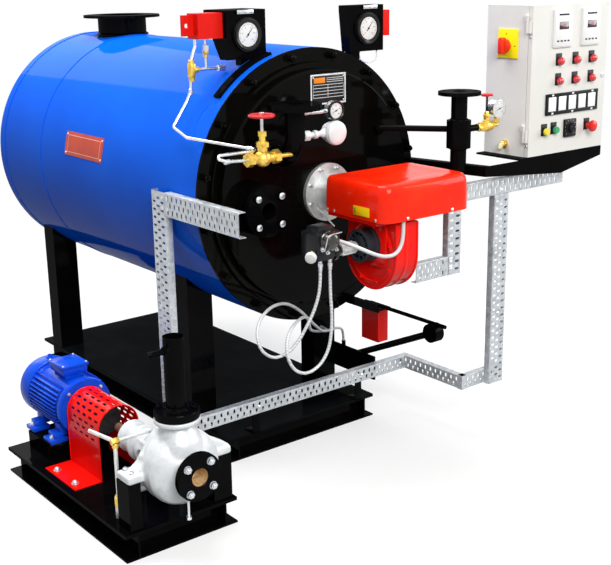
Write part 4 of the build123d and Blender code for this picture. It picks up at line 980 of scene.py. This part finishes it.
# Impulse tube and drain tube: drawn steel tube, bent cold and left bright, with brass unions.
# The drain tube is galvanised, so it is paler and duller than the other.
dress(bright_steel, "impulse_tube")
tube_cream = metal("galvanised_tube", "galvanised", "#E6E7E4", "#C4C6C2", rough=0.36, patch_mm=18,
                   metallic=0.55)
dress(tube_cream, "drain_tube")
tee_x, riser_x, tube_y, crown = -360, -306, front + 130, 1368
bm = bmesh.new()
spot = seat((tee_x, tube_y, crown - 57))
slab(bm, spot, hexagon(25), -21, 21, 2)
lathe(bm, spot, [(8, -34), (10, -33), (10, -20)], 24)
lathe(bm, spot, [(10, 20), (10, 31), (8, 32)], 24)
tee_arm = seat((tee_x, tube_y, crown - 56), to_right)
lathe(bm, tee_arm, [(9.5, 8), (9.5, 24), (7.5, 26)], 24)
slab(bm, seat((riser_x, tube_y, crown - 12)), hexagon(20), 1, 13, 1)
lathe(bm, seat((riser_x, tube_y, crown - 12)), [(6, -8), (8, -7), (8, 30), (6, 31)], 24)
piece("impulse_unions", bm, cast_brass)
bm = bmesh.new()
for x, y, z, along in ((-366, tube_y, crown - 122, (0, 0, 1)),
                       (-326, front - 116, crown - 275, (0.75, -0.66, 0)),
                       (-440, outlet_y, valve_z + 4, to_right)):
    spot = seat((x, y, z), along)
    slab(bm, spot, hexagon(14), -9, 2, 1)
    lathe(bm, spot, [(7, 1), (7, 8), (5, 10)], 20)
piece("impulse_nuts", bm, zinc_plate)
bm = bmesh.new()
drain_x, drain_y, drain_z = -872, front - 184, 252 + 70.8
spot = seat((drain_x, drain_y, drain_z), to_right)
slab(bm, spot, hexagon(19), -12, 12, 1.4)
lathe(bm, seat((drain_x, drain_y, drain_z), down), [(8, 6), (9, 8), (9, 19), (7, 20)], 24)
slab(bm, seat((drain_x, drain_y, 118)), hexagon(24), 8, 30, 1.4)
lathe(bm, seat((drain_x, drain_y, 85)), [(0, 0), (9, 0), (11, 3), (11, 20), (9, 24), (9, 34), (12, 36),
                                      (12, 42)], 28)
lathe(bm, seat((drain_x, drain_y, 118)), [(9.5, 29), (9.5, 38), (7, 40)], 24)
piece("drain_unions", bm, cast_brass)

# Sensor head on the door: pale die-cast housing with a screwed lid and a hexagon neck.
# It is sprayed in light silver lacquer over the casting's grain.
silver_lacquer, tree, shader, place = new_finish("silver_lacquer", "pump_silver")
grain = add(tree, "TexNoise", {"Scale": 1000 / 1.4, "Detail": 3, "Vector": place})
cloud = add(tree, "TexNoise", {"Scale": 1000 / 22, "Detail": 3, "Vector": place})
tone = add(tree, "Mix", {"data_type": "RGBA", 6: "#E6E8E9", 7: "#D2D6D8", 0: cloud})
relief = add(tree, "Bump", {"Strength": 0.15, "Distance": 0.0006, "Height": grain})
plug(shader, {"Base Color": tone, "Normal": relief, "Metallic": 0.05, "Roughness": 0.45})
head_seat = seat((-42, outlet_y + 26, 1118), to_front)
bm = bmesh.new()
lathe(bm, head_seat, [(0, 0), (22, 0), (28, 4), (33, 16), (35, 30), (35, 37)], 48)
lathe(bm, head_seat, [(35, 37), (38, 38), (38, 45), (36.5, 47)], 48)
lathe(bm, head_seat, [(36.5, 47), (36, 52), (32, 55), (20, 57), (0, 57.5)], 48)
for x, y in around(4, 33, 35):
    lathe(bm, head_seat @ shift(x, y, 44), [(3.4, 0), (3.4, 4), (2.6, 5), (0, 5)], 14)
neck = seat((-158, outlet_y, 1118), to_right)
lathe(bm, neck, [(9, 0), (9, 68), (13, 76), (17, 92)], 32)
slab(bm, neck, hexagon(30), 0, 22, 1.5)
lathe(bm, neck, [(12, 40), (13, 42), (13, 52), (12, 54)], 32)
head = piece("sensor_housing", bm, silver_lacquer)
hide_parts("sensor_head")

# Cable trays: hot-dip galvanised strip, punched with staggered slots and folded to a channel.
# Zinc crystals show as a patchwork of greys about a centimetre across.
galvanised, tree, shader, place = new_finish("galvanised_sheet", "galvanised")
crystals = add(tree, "TexVoronoi", {"Scale": 1000 / 11, "Randomness": 1.0, "Vector": place})
shade = add(tree, "SeparateColor", {0: crystals.outputs["Color"]})
weather = add(tree, "TexNoise", {"Scale": 1000 / 120, "Detail": 4, "Vector": place})
mottle = add(tree, "Math", {"operation": "MULTIPLY", 0: shade, 1: weather})
tone = add(tree, "Mix", {"data_type": "RGBA", 6: "#C9CED2", 7: "#8E9398", 0: mottle})
gloss = add(tree, "MapRange", {"To Min": 0.34, "To Max": 0.56, "Value": shade.outputs[1]})
plug(shader, {"Base Color": tone, "Roughness": gloss, "Metallic": 0.7})
slot_pitch, slot_wide, sheet = 26, 8, 1.8


def tray(bm, place_mm, turns, length, high):
    """A slotted channel from that corner, its length along X before the turns, in mm."""
    spot = Matrix.Translation(Vector(place_mm) / 1000)
    for angle, axis in turns:
        spot = spot @ spin(angle, axis)
    spot = spot @ millimetres
    along = spot @ Matrix(((0, 0, 1, 0), (1, 0, 0, 0), (0, 1, 0, 0), (0, 0, 0, 1)))
    for low, high_side in ((0, 1), (high, -1)):
        lip = [(25, 0), (3, 0), (0.9, 0.9), (0, 3), (0, 5), (sheet, 5), (sheet, 3.6), (2.5, 2.5),
               (3.6, sheet), (25, sheet)]
        lip = [(y, low + high_side * z) for y, z in lip]
        slab(bm, along, lip if high_side == 1 else lip[::-1], 0, length)
    rows = max(2, round((high - 10) / 21))
    row_high = (high - 10) / rows
    slot_long = min(19, row_high - 5.5)
    for row in range(rows):
        middle = 5 + row_high * (row + 0.5)
        first = 5 + (row % 2) * slot_pitch / 2
        count = int((length - 10 - (row % 2) * slot_pitch / 2) / slot_pitch)
        for x0, x1 in ((0, first), (first + count * slot_pitch, length)):
            outline = rectangle(x0, x1, middle - row_high / 2, middle + row_high / 2)
            corners = [bm.verts.new(spot @ Vector((x, y, z))) for y in (0, sheet) for x, z in outline]
            bm.faces.new(corners[:4])
            bm.faces.new(corners[4:])
        for i in range(count):
            x = first + slot_pitch * (i + 0.5)
            outer, inner = [], []
            for k in range(16):
                a = pi * k / 8
                c, s = cos(a), sin(a)
                reach = max(abs(c), abs(s))
                outer.append((x + slot_pitch / 2 * c / reach, middle + row_high / 2 * s / reach))
                straight = 0 if abs(s) < 0.01 else copysign((slot_long - slot_wide) / 2, s)
                inner.append((x + slot_wide / 2 * c, middle + straight + slot_wide / 2 * s))
            levels = ((outer, 0), (inner, 0), (inner, sheet), (outer, sheet))
            rings = [[bm.verts.new(spot @ Vector((px, y, pz))) for px, pz in edge] for edge, y in levels]
            stitch(bm, rings)


left_x, low_z, upper_z, corner_x = -479, 163, 853, 456
near_y, far_y = front + 24, front - 296
bm = bmesh.new()
tray(bm, (left_x, front + 134, 866), [(-90, "Z")], 404, 76)
tray(bm, (left_x, front + 134, 213), [(-90, "Z"), (-90, "Y")], 729, 80)
left_tray = piece("tray_left", bm, galvanised)
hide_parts("cable_tray_left")
bm = bmesh.new()
tray(bm, (left_x, near_y, low_z), [], 935, 50)
tray(bm, (left_x, front + 214, low_z), [(-90, "Z")], 165, 50)
tray(bm, (corner_x, near_y + 25, low_z), [(-90, "Z")], 320, 50)
tray(bm, (corner_x, near_y - 295, low_z), [], 184, 50)
front_tray = piece("tray_front", bm, galvanised)
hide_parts("cable_tray_front")
bm = bmesh.new()
for x in (-230, 230):
    brick(bm, (x, near_y + 21, 85), (x + 30, near_y + 25, 167), 0.8)
    brick(bm, (x, near_y + 21, 85), (x + 30, -662.5, 89), 0.8)
stand_offs = piece("tray_stand_offs", bm, black_enamel)
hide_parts("cable_tray_front")
bm = bmesh.new()
tray(bm, (640, far_y, low_z), [(-90, "Y")], 690, 72)
tray(bm, (345, far_y, upper_z), [], 580, 58)
tray(bm, (407, far_y, 610), [(-90, "Y")], 243, 62)
tray(bm, (200, far_y, 610), [], 150, 66)
panel_tray = piece("tray_panel", bm, galvanised)
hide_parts("cable_tray_panel")

# Tray joints: small cup-square bolts beside each corner.
# They are zinc-plated and a little brighter than the strip.
bm = bmesh.new()
for spot_mm, along in (((left_x, front + 120, 890), to_left), ((left_x, front + 120, 924), to_left),
                       ((left_x, front + 148, 890), to_left), ((left_x, front + 148, 924), to_left),
                       ((604, far_y, 868), to_front), ((604, far_y, 896), to_front),
                       ((376, far_y, 868), to_front), ((376, far_y, 896), to_front),
                       ((604, far_y + 22, 176), to_front), ((604, far_y + 22, 200), to_front),
                       ((362, far_y, 630), to_front), ((362, far_y, 656), to_front),
                       ((-215, near_y, 188), to_front), ((245, near_y, 188), to_front),
                       ((corner_x - 20, near_y, 188), to_front), ((left_x, front + 190, 190), to_left)):
    lathe(bm, seat(spot_mm, along), [(6.5, -0.5), (6.5, 0.8), (5, 2.6), (2.5, 3.4), (0, 3.6)], 16)
piece("tray_bolts", bm, zinc_plate)

# Pump casing: grey-iron casting under thick silver-white lacquer, volute and centre-line feet in one.
# Core sand leaves a soft uneven skin, and every corner is a generous casting radius.
pump_white, tree, shader, place = new_finish("pump_lacquer", "pump_silver")
skin = add(tree, "TexNoise", {"Scale": 1000 / 5, "Detail": 4, "Roughness": 0.6, "Vector": place})
lumps = add(tree, "TexNoise", {"Scale": 1000 / 40, "Detail": 3, "Vector": place})
grime = add(tree, "TexNoise", {"Scale": 1000 / 70, "Detail": 6, "Roughness": 0.7, "Vector": place})
tone = add(tree, "Mix", {"data_type": "RGBA", 6: "#DCE0E2", 7: "#AEB3B5",
                         0: add(tree, "MapRange", {"From Min": 0.5, "From Max": 0.8, "Value": grime})})
deep = add(tree, "Bump", {"Strength": 0.25, "Distance": 0.006, "Height": lumps})
fine = add(tree, "Bump", {"Strength": 0.2, "Distance": 0.0012, "Height": skin, "Normal": deep})
plug(shader, {"Base Color": tone, "Normal": fine, "Roughness": 0.36, "Metallic": 0.12})
shaft_x, shaft_z, suction = -735, 252, front - 412
ped_x0, ped_x1, foot_low = -896.5, -548.5, 230
disch_y, disch_flange, disch_circle = suction + 108, 426, 49


def cast(name, bm, finish, grid_mm, passes, bores=(), body="heater"):
    """Melts the built solids into one casting with soft corners, then bores it."""
    rough = piece(name, bm, finish, body)
    skin_step = rough.modifiers.new("skin", "REMESH")
    skin_step.mode = "VOXEL"
    skin_step.voxel_size = grid_mm / 1000
    ease = rough.modifiers.new("ease", "SMOOTH")
    ease.iterations = passes
    ease.factor = 0.5
    cutters = []
    for spot, radius, depth in bores:
        cutter_bm = bmesh.new()
        lathe(cutter_bm, spot, [(0, -2), (radius, -2), (radius, depth), (0, depth)], 40)
        bmesh.ops.recalc_face_normals(cutter_bm, faces=cutter_bm.faces)
        data = bpy.data.meshes.new("bore")
        cutter_bm.to_mesh(data)
        cutter_bm.free()
        cutter = bpy.data.objects.new("bore", data)
        scene.collection.objects.link(cutter)
        cut = rough.modifiers.new("bore", "BOOLEAN")
        cut.object, cut.operation, cut.solver = cutter, "DIFFERENCE", "EXACT"
        cutters.append(cutter)
    bpy.context.view_layer.update()
    made = bpy.data.meshes.new_from_object(rough.evaluated_get(bpy.context.evaluated_depsgraph_get()))
    rough.modifiers.clear()
    rough.data = made
    for cutter in cutters:
        bpy.data.objects.remove(cutter)
    made.shade_smooth()
    made.set_sharp_from_angle(angle=radians(50))
    return rough


def closed_turn(bm, spot, profile, steps=48):
    """A turned solid whose ends are closed on the axis."""
    lathe(bm, spot, [(0, profile[0][1])] + profile + [(0, profile[-1][1])], steps)


bm = bmesh.new()
along_shaft = seat((shaft_x, suction, shaft_z), to_back)
closed_turn(bm, along_shaft, [(46, 17), (46, 30), (56, 42), (74, 56), (92, 66), (104, 74), (112, 88),
                              (112, 134), (104, 146), (88, 150), (88, 165)], 64)
closed_turn(bm, seat((shaft_x + 10, suction + 70, shaft_z - 6), to_back),
            [(92, 0), (108, 14), (110, 30), (108, 56), (92, 72)], 64)
closed_turn(bm, seat((shaft_x, disch_y, shaft_z)), [(74, 40), (66, 84), (52, 112), (44, 126), (44, 136)],
            56)
closed_turn(bm, seat((shaft_x, disch_y, 386)), [(66, 0), (67, 3), (67, 13), (66, 16)], 56)
web = [(-161, -22), (-161, 0), (-140, 6), (-112, 26), (-86, 62), (-62, 96), (-40, 112), (40, 112),
       (62, 98), (92, 74), (128, 40), (164, 18), (180, 8), (186, 0), (186, -22), (112, -22), (84, -60),
       (-84, -60), (-104, -22)]
web_seat = seat((shaft_x, front - 289, shaft_z), to_front)
slab(bm, web_seat, web, -42, 0)
for x0, x1 in ((ped_x0, ped_x0 + 66), (ped_x1 - 66, ped_x1)):
    brick(bm, (x0, front - 295, foot_low), (x1, front - 224, foot_low + 25), 5)
for x, y in around(8, 100, 22):
    closed_turn(bm, along_shaft @ shift(x, y, 132), [(13, 0), (13, 24)], 16)
casing = cast("pump_cast_casing", bm, pump_white, 3.6, 5,
              [(seat((shaft_x, suction + 17, shaft_z), to_back), 27, 84)])
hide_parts("pump_casing")
rust = metal("bore_rust", "steel", "#D9BE8E", "#A9743C", rough=0.6, patch_mm=7, metallic=0.2)
bm = bmesh.new()
lathe(bm, seat((shaft_x, suction, shaft_z), to_back), [(26.4, 1), (26.2, 40), (22, 52), (12, 58), (0, 60)],
      40)
piece("suction_bore", bm, rust)

# Suction flange: turned steel ring in black enamel with four bolts.
# The bolts and their washers are bright zinc, as on the casing's feet.
bm = bmesh.new()
spot = seat((shaft_x, suction + 18, shaft_z), to_front)
lathe(bm, spot, [(27, 0), (70, 0), (72, 1.5), (72, 15), (70.5, 17), (60, 18), (40, 18), (39, 19.4),
                 (29, 19.4), (27, 18), (27, 0)], 72)
ring = piece("suction_ring", bm, black_enamel)
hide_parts("suction_flange")
bm = bmesh.new()
for (x, y), (u, v) in zip(around(4, 54, 49), around(4, disch_circle, 49)):
    bolt(bm, spot @ shift(x, y, 18), 19, 8, stud=5)
    bolt(bm, seat((shaft_x + u, disch_y + v, disch_flange)), 15, 7, stud=6)
for x in (ped_x0 + 22, ped_x1 - 22):
    for y in (front - 278, front - 240):
        bolt(bm, seat((x, y, foot_low + 25)), 14, 6, stud=3)
piece("pump_bolts", bm, zinc_plate)
bm = bmesh.new()
for x, y in around(4, disch_circle, 49):
    bolt(bm, seat((shaft_x + x, disch_y + y, disch_flange)), 16, 8, stud=5)
piece("discharge_bolts", bm, black_enamel)
bm = bmesh.new()
plug_x, plug_y = -728, front - 330
wire(bm, [(plug_x, plug_y, 162), (plug_x, plug_y - 1, 120), (plug_x, plug_y, 88)], 4)
for z, size in ((150, 7), (92, 8)):
    lathe(bm, seat((plug_x, plug_y, z)), [(4, -5), (size, -4), (size, 4), (4, 5)], 20)
piece("casing_drain", bm, bright_steel)

# Discharge pipe: steel tube welded to its loose flange, with a small welded probe boss.
# Pipe, flange and boss are enamelled black together.
disch_low, disch_high = 402, 640
bm = bmesh.new()
lathe(bm, seat((shaft_x, disch_y, disch_low)), [(26.5, 0), (64, 0), (65, 1.5), (65, 22), (63.5, 24),
                                                (37, 24), (34, 28), (30.2, 31), (30.2, 238), (26.5, 238),
                                                (26.5, 0)], 64)
probe = seat((shaft_x - 26, disch_y, disch_high - 38), to_left)
lathe(bm, probe, [(13, 0), (13, 8), (9, 9), (9, 56), (8, 58), (0, 58)], 28)
weld(bm, probe, 12, 5, 28)
pipe_run = piece("discharge_run", bm, black_enamel)
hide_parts("discharge_pipe")

# Bearing bracket: one casting with the same lacquer, open windows round the seal, a round bearing cover.
# The shaft and the gland between the windows carry a brown film of oil.
bm = bmesh.new()
lantern = seat((shaft_x, suction + 166, shaft_z), to_back)
closed_turn(bm, lantern, [(88, 0), (88, 11), (80, 14), (72, 40), (62, 80), (54, 108), (50, 118), (47, 140),
                          (46, 205), (52, 208), (52, 213)], 56)
closed_turn(bm, lantern, [(56, 132), (57, 134), (57, 146), (55, 148)], 48)
for a in (40, 140, 220, 320):
    rib = lantern @ spin(a)
    slab(bm, rib @ spin(-90, "X"), [(40, -10), (84, -10), (70, -60), (54, -112), (40, -130)], -4, 4)
brick(bm, (shaft_x - 9, front - 82, 85), (shaft_x + 9, front - 62, 225), 2)
brick(bm, (shaft_x - 40, front - 90, 85), (shaft_x + 40, front - 54, 96), 2)
windows = [(lantern @ shift(0, 0, 52) @ spin(90, "Y") @ shift(0, 0, -90), 26, 180),
           (lantern @ shift(0, 0, 52) @ spin(90, "X") @ shift(0, 0, -90), 26, 180)]
bracket = cast("bearing_housing", bm, pump_white, 3.2, 3, windows)
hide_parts("bearing_bracket")
oily_steel = metal("oily_shaft", "steel", "#A98468", "#5E4738", rough=0.38, patch_mm=9, metallic=0.6)
bm = bmesh.new()
closed_turn(bm, lantern, [(30, 20), (30, 36), (24, 38), (24, 52), (14, 54), (14, 96), (20, 98), (20, 106)],
            36)
closed_turn(bm, lantern, [(14, 210), (14, 296)], 28)
piece("pump_shaft", bm, oily_steel)
bm = bmesh.new()
for x, y in around(4, 38, 45):
    bolt(bm, lantern @ shift(x, y, 213), 10, 5)
for x, y in around(8, 80, 22):
    bolt(bm, lantern @ shift(x, y, 11), 11, 6)
piece("bearing_bolts", bm, zinc_plate)

# Shaft coupling: two cast-iron hubs with a rubber spider between their jaws.
# Turned faces are bare, the spider is dull black rubber.
coupling_seat = seat((shaft_x, front + 120, shaft_z), to_back)
bm = bmesh.new()
for low, high_end in ((0, 22), (38, 60)):
    closed_turn(bm, coupling_seat, [(46, low), (48, low + 2), (48, high_end - 2), (46, high_end)], 48)
closed_turn(bm, coupling_seat, [(30, 58), (30, 83), (28, 84)], 36)
for i in range(6):
    arm = coupling_seat @ spin(60 * i)
    slab(bm, arm, [(18, -7), (46, -11), (46, 11), (18, 7)], 20, 40, 1)
hubs = piece("coupling_hubs", bm, metal("coupling_iron", "steel", "#3E3F41", "#262728", rough=0.55,
                                        patch_mm=16))
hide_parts("shaft_coupling")
rubber = enamel("spider_rubber", "black_plastic", "#1A1A1B", "#242425", rough=(0.6, 0.75), ripple_mm=3,
                ripple=0.1, coat=0)
bm = bmesh.new()
closed_turn(bm, coupling_seat, [(44, 24), (45, 26), (45, 34), (44, 36)], 48)
piece("coupling_spider", bm, rubber)

# Coupling guard: perforated steel folded over the coupling and enamelled bright red.
# Its foot is held down by two bright bolts on each side.
guard_red = enamel("guard_red", "burner_red", "#EE100A", "#F81A10", rough=(0.14, 0.28), ripple_mm=18,
                   ripple=0.08, coat=0.2, mirror=0.02)
dress(guard_red, "coupling_guard")
bm = bmesh.new()
for x in (-875, -628):
    for y in (front + 92, front + 214):
        lathe(bm, seat((x, y, 88)), [(12, 0), (12, 1.6), (9, 2), (9, 6), (7, 9), (3, 10.6), (0, 11)], 24)
piece("guard_bolts", bm, zinc_plate)
rolled_edge = bmesh.new()
guard_radius = 70
for y in (front + 50.5, front + 255.5):
    arch = [polar(guard_radius, a) for a in range(0, 181, 9)]
    path = [(shaft_x - guard_radius, y, 90)] + [(shaft_x - x, y, shaft_z + z) for x, z in arch]
    path += [(shaft_x + guard_radius, y, 90)]
    wire(rolled_edge, path, 2.2)
piece("guard_edges", rolled_edge, guard_red)

# Motor: finned cast frame with feet, a rolled fan cover behind and a flat terminal box on top.
# The same blue lacquer covers castings, cover and lid; fins run with the shaft in four banks.
motor_blue = enamel("motor_blue", "motor_blue", "#0845CC", "#0E58DE", rough=(0.24, 0.4), ripple_mm=6,
                    ripple=0.12, coat=0.15, mirror=0.05)
motor_y0, motor_y1 = front + 262, front + 560
fin_root, fin_tip, fin_pitch = 87, 99.5, 12.6
motor_seat = seat((shaft_x, motor_y0, shaft_z), to_back)
bm = bmesh.new()
closed_turn(bm, motor_seat, [(30, -2), (34, 0), (60, 2), (90, 4), (94, 8), (95, 20), (92, 27), (89, 32),
                             (88, 36), (88, 214), (93, 218), (93, 226)], 96)
closed_turn(bm, motor_seat, [(98, 222), (100, 226), (100, 280), (97, 290), (88, 297), (56, 298)], 96)
for bank in range(4):
    for i in range(-5, 6):
        if bank == 1 and abs(i) < 5:
            continue
        off = fin_pitch * i
        root = sqrt(fin_root ** 2 - off ** 2)
        tip = min(sqrt(max(fin_tip ** 2 - off ** 2, 0)), root + 17)
        turned = motor_seat @ spin(90 * bank)
        slab(bm, turned, [(root - 3, off - 2.4), (tip, off - 1.3), (tip, off + 1.3),
                          (root - 3, off + 2.4)], 30, 218, 0.6)
for side in (-1, 1):
    for y0, y1 in ((motor_y0 + 28, motor_y0 + 88), (motor_y0 + 160, motor_y0 + 218)):
        brick(bm, (shaft_x + side * 88 - 30, y0, 140), (shaft_x + side * 88 + 30, y1, 154), 2)
        brick(bm, (shaft_x + side * 80 - 22, y0 + 5, 150), (shaft_x + side * 80 + 10, y1 - 5, 172), 3)
        brick(bm, (shaft_x + side * 66 - 14, y0 + 8, 160), (shaft_x + side * 66 + 14, y1 - 8, 204), 3)
brick(bm, (shaft_x - 34, motor_y0 + 66, 326), (shaft_x + 34, motor_y0 + 148, 352), 4)
brick(bm, (shaft_x - 44, motor_y0 + 58, 349), (shaft_x + 44, motor_y0 + 156, 372), 4)
brick(bm, (shaft_x - 48, motor_y0 + 54, 371), (shaft_x + 48, motor_y0 + 160, 382), 3)
lathe(bm, seat((shaft_x, motor_y1 - 50, 351)), [(10, -4), (10, 6), (7, 8), (7, 14), (4, 14)], 24)
motor = piece("motor_frame", bm, motor_blue)
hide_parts("motor")
bm = bmesh.new()
for side in (-1, 1):
    for y in (motor_y0 + 52, motor_y0 + 196):
        bolt(bm, seat((shaft_x + side * 104, y, 154)), 15, 6, stud=4)
for x in (-41, 41):
    for y in (motor_y0 + 61, motor_y0 + 153):
        lathe(bm, seat((shaft_x + x, y, 382)), [(4.5, 0), (4.5, 2), (3, 3.4), (1.6, 3.4), (1.2, 2),
                                                (0, 2)], 16)
for x, z in around(4, 80, 45):
    bolt(bm, seat((shaft_x + x, motor_y0 + 3, shaft_z + z), to_front), 9, 5)
piece("motor_bolts", bm, zinc_plate)
bm = bmesh.new()
gland = seat((shaft_x + 44, motor_y0 + 104, 361), to_right)
slab(bm, gland, hexagon(22), -5, 5, 1)
lathe(bm, gland, [(9, 4), (9, 12), (7, 14), (0, 14)], 24)
piece("motor_gland", bm, brass)

# Filter box and pressure switches: small red castings beside the heater.
# Their finish is a plain gloss over a light ripple.
box_red = enamel("box_red", "burner_red", "#D8150D", "#C6120C", rough=(0.25, 0.4), ripple_mm=8,
                 ripple=0.06, coat=0.2)
dress(box_red, "filter_box")
switch_red = enamel("switch_red", "burner_red", "#E0190F", "#D2140C", rough=(0.3, 0.44), ripple_mm=6,
                    ripple=0.06)
dress(switch_red, "pressure_switch_left", "pressure_switch_right")

# Gauge box clips: bright pressed strips at the boxes' tops, each held by three screws.
# A thin capillary loops below the right box.
bm = bmesh.new()
clip_long, clip_top = 62, 1489.5
for x, y in ((-192, front + 78), (291, front + 38)):
    brick(bm, (x - clip_long / 2, y - 7, clip_top - 13), (x + clip_long / 2, y - 5, clip_top - 1), 0.5)
    for i in (-1, 0, 1):
        lathe(bm, seat((x + i * clip_long * 0.36, y - 7, clip_top - 7), to_front),
              [(4, 0), (4, 1.6), (2.5, 3), (0, 3.2)], 16)
piece("box_clips", bm, zinc_plate)
bm = bmesh.new()
wire(bm, [(258, front + 52, 1345), (260, front + 48, 1308), (296, front + 46, 1296),
          (334, front + 48, 1306), (336, front + 52, 1345)], 2.2)
piece("box_capillary", bm, white_moulding)

# Cords: two braided fuel hoses from the oil pump to their sockets, and the burner's own lead.
# Hoses are rubber under a fine steel and fabric braid; the lead is a smooth pale sheath.


def cord_curve(name, points, radius, finish):
    """An open smooth line through control points in mm, given its real thickness."""
    line = bpy.data.curves.new(name, "CURVE")
    line.dimensions = "3D"
    line.bevel_depth = radius / 1000
    line.bevel_resolution = 6
    line.resolution_u = 12
    line.use_fill_caps = True
    spline = line.splines.new("NURBS")
    spline.points.add(len(points) - 1)
    for knot, (x, y, z) in zip(spline.points, points):
        knot.co = (x / 1000, (front + y) / 1000, z / 1000, 1)
    spline.order_u = 3
    spline.use_endpoint_u = True
    line.materials.append(finish)
    cord = bpy.data.objects.new(name, line)
    scene.collection.objects.link(cord)
    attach(cord, "heater")
    return cord


braid, tree, shader, place = new_finish("hose_braid", "hose_grey")
weave = add(tree, "TexWave", {"Scale": 1000 / 3.2 / 6.28, "Distortion": 2.0, "Detail": 2.0,
                              "Detail Scale": 3.0, "bands_direction": "DIAGONAL", "Vector": place})
dirt = add(tree, "TexNoise", {"Scale": 1000 / 40, "Detail": 3, "Vector": place})
mixed = add(tree, "Math", {"operation": "MULTIPLY", 0: weave, 1: dirt})
tone = add(tree, "Mix", {"data_type": "RGBA", 6: "#B9BCBE", 7: "#F1F2F3", 0: mixed})
relief = add(tree, "Bump", {"Strength": 0.4, "Distance": 0.0006, "Height": weave})
plug(shader, {"Base Color": tone, "Normal": relief, "Roughness": 0.5, "Metallic": 0.35})
lead_grey = enamel("lead_grey", "hose_grey", "#D9DADA", "#C4C6C7", rough=(0.35, 0.5), ripple_mm=2.4,
                   ripple=0.3, coat=0.0)
supply_route = [(-198, -290, 726), (-198, -290, 692), (-206, -290, 644), (-224, -286, 596),
                (-248, -280, 552), (-272, -272, 512), (-304, -262, 478), (-350, -250, 466),
                (-388, -238, 494), (-396, -224, 540), (-374, -208, 582), (-328, -192, 606),
                (-274, -172, 608), (-218, -144, 592), (-160, -112, 560), (-104, -76, 522), (-50, -40, 480),
                (6, 4, 440), (66, 56, 400), (128, 112, 360), (186, 158, 334), (238, 188, 322),
                (282, 208, 314), (314, 218, 302), (325, 223, 278), (328, 225, 250)]
return_route = [(-168, -300, 726), (-168, -300, 692), (-170, -304, 640), (-170, -310, 584),
                (-176, -314, 528), (-190, -316, 474), (-222, -312, 430), (-270, -306, 412),
                (-314, -300, 434), (-334, -292, 482), (-324, -280, 530), (-286, -260, 560),
                (-234, -232, 566), (-180, -190, 552), (-128, -138, 520), (-80, -82, 478), (-32, -24, 438),
                (20, 34, 406), (72, 96, 378), (120, 144, 352), (162, 176, 334), (212, 196, 320),
                (244, 222, 314), (244, 259, 314)]
conduit_route = [(-170, -340, 824), (-170, -366, 824), (-162, -398, 819), (-140, -422, 806),
                 (-106, -435, 788), (-66, -438, 774), (-24, -437, 774), (6, -432, 798), (16, -428, 834),
                 (16, -428, 872)]
cords = (("supply_hose", "hose_supply", supply_route, 5, 1.410, braid),
         ("return_hose", "hose_return", return_route, 5, 1.363, braid),
         ("burner_lead", "burner_conduit", conduit_route, 6, 0.329, lead_grey))
for name, node, route, radius, length, finish in cords:
    cord = cord_curve(name, route, radius, finish)
    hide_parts(node)
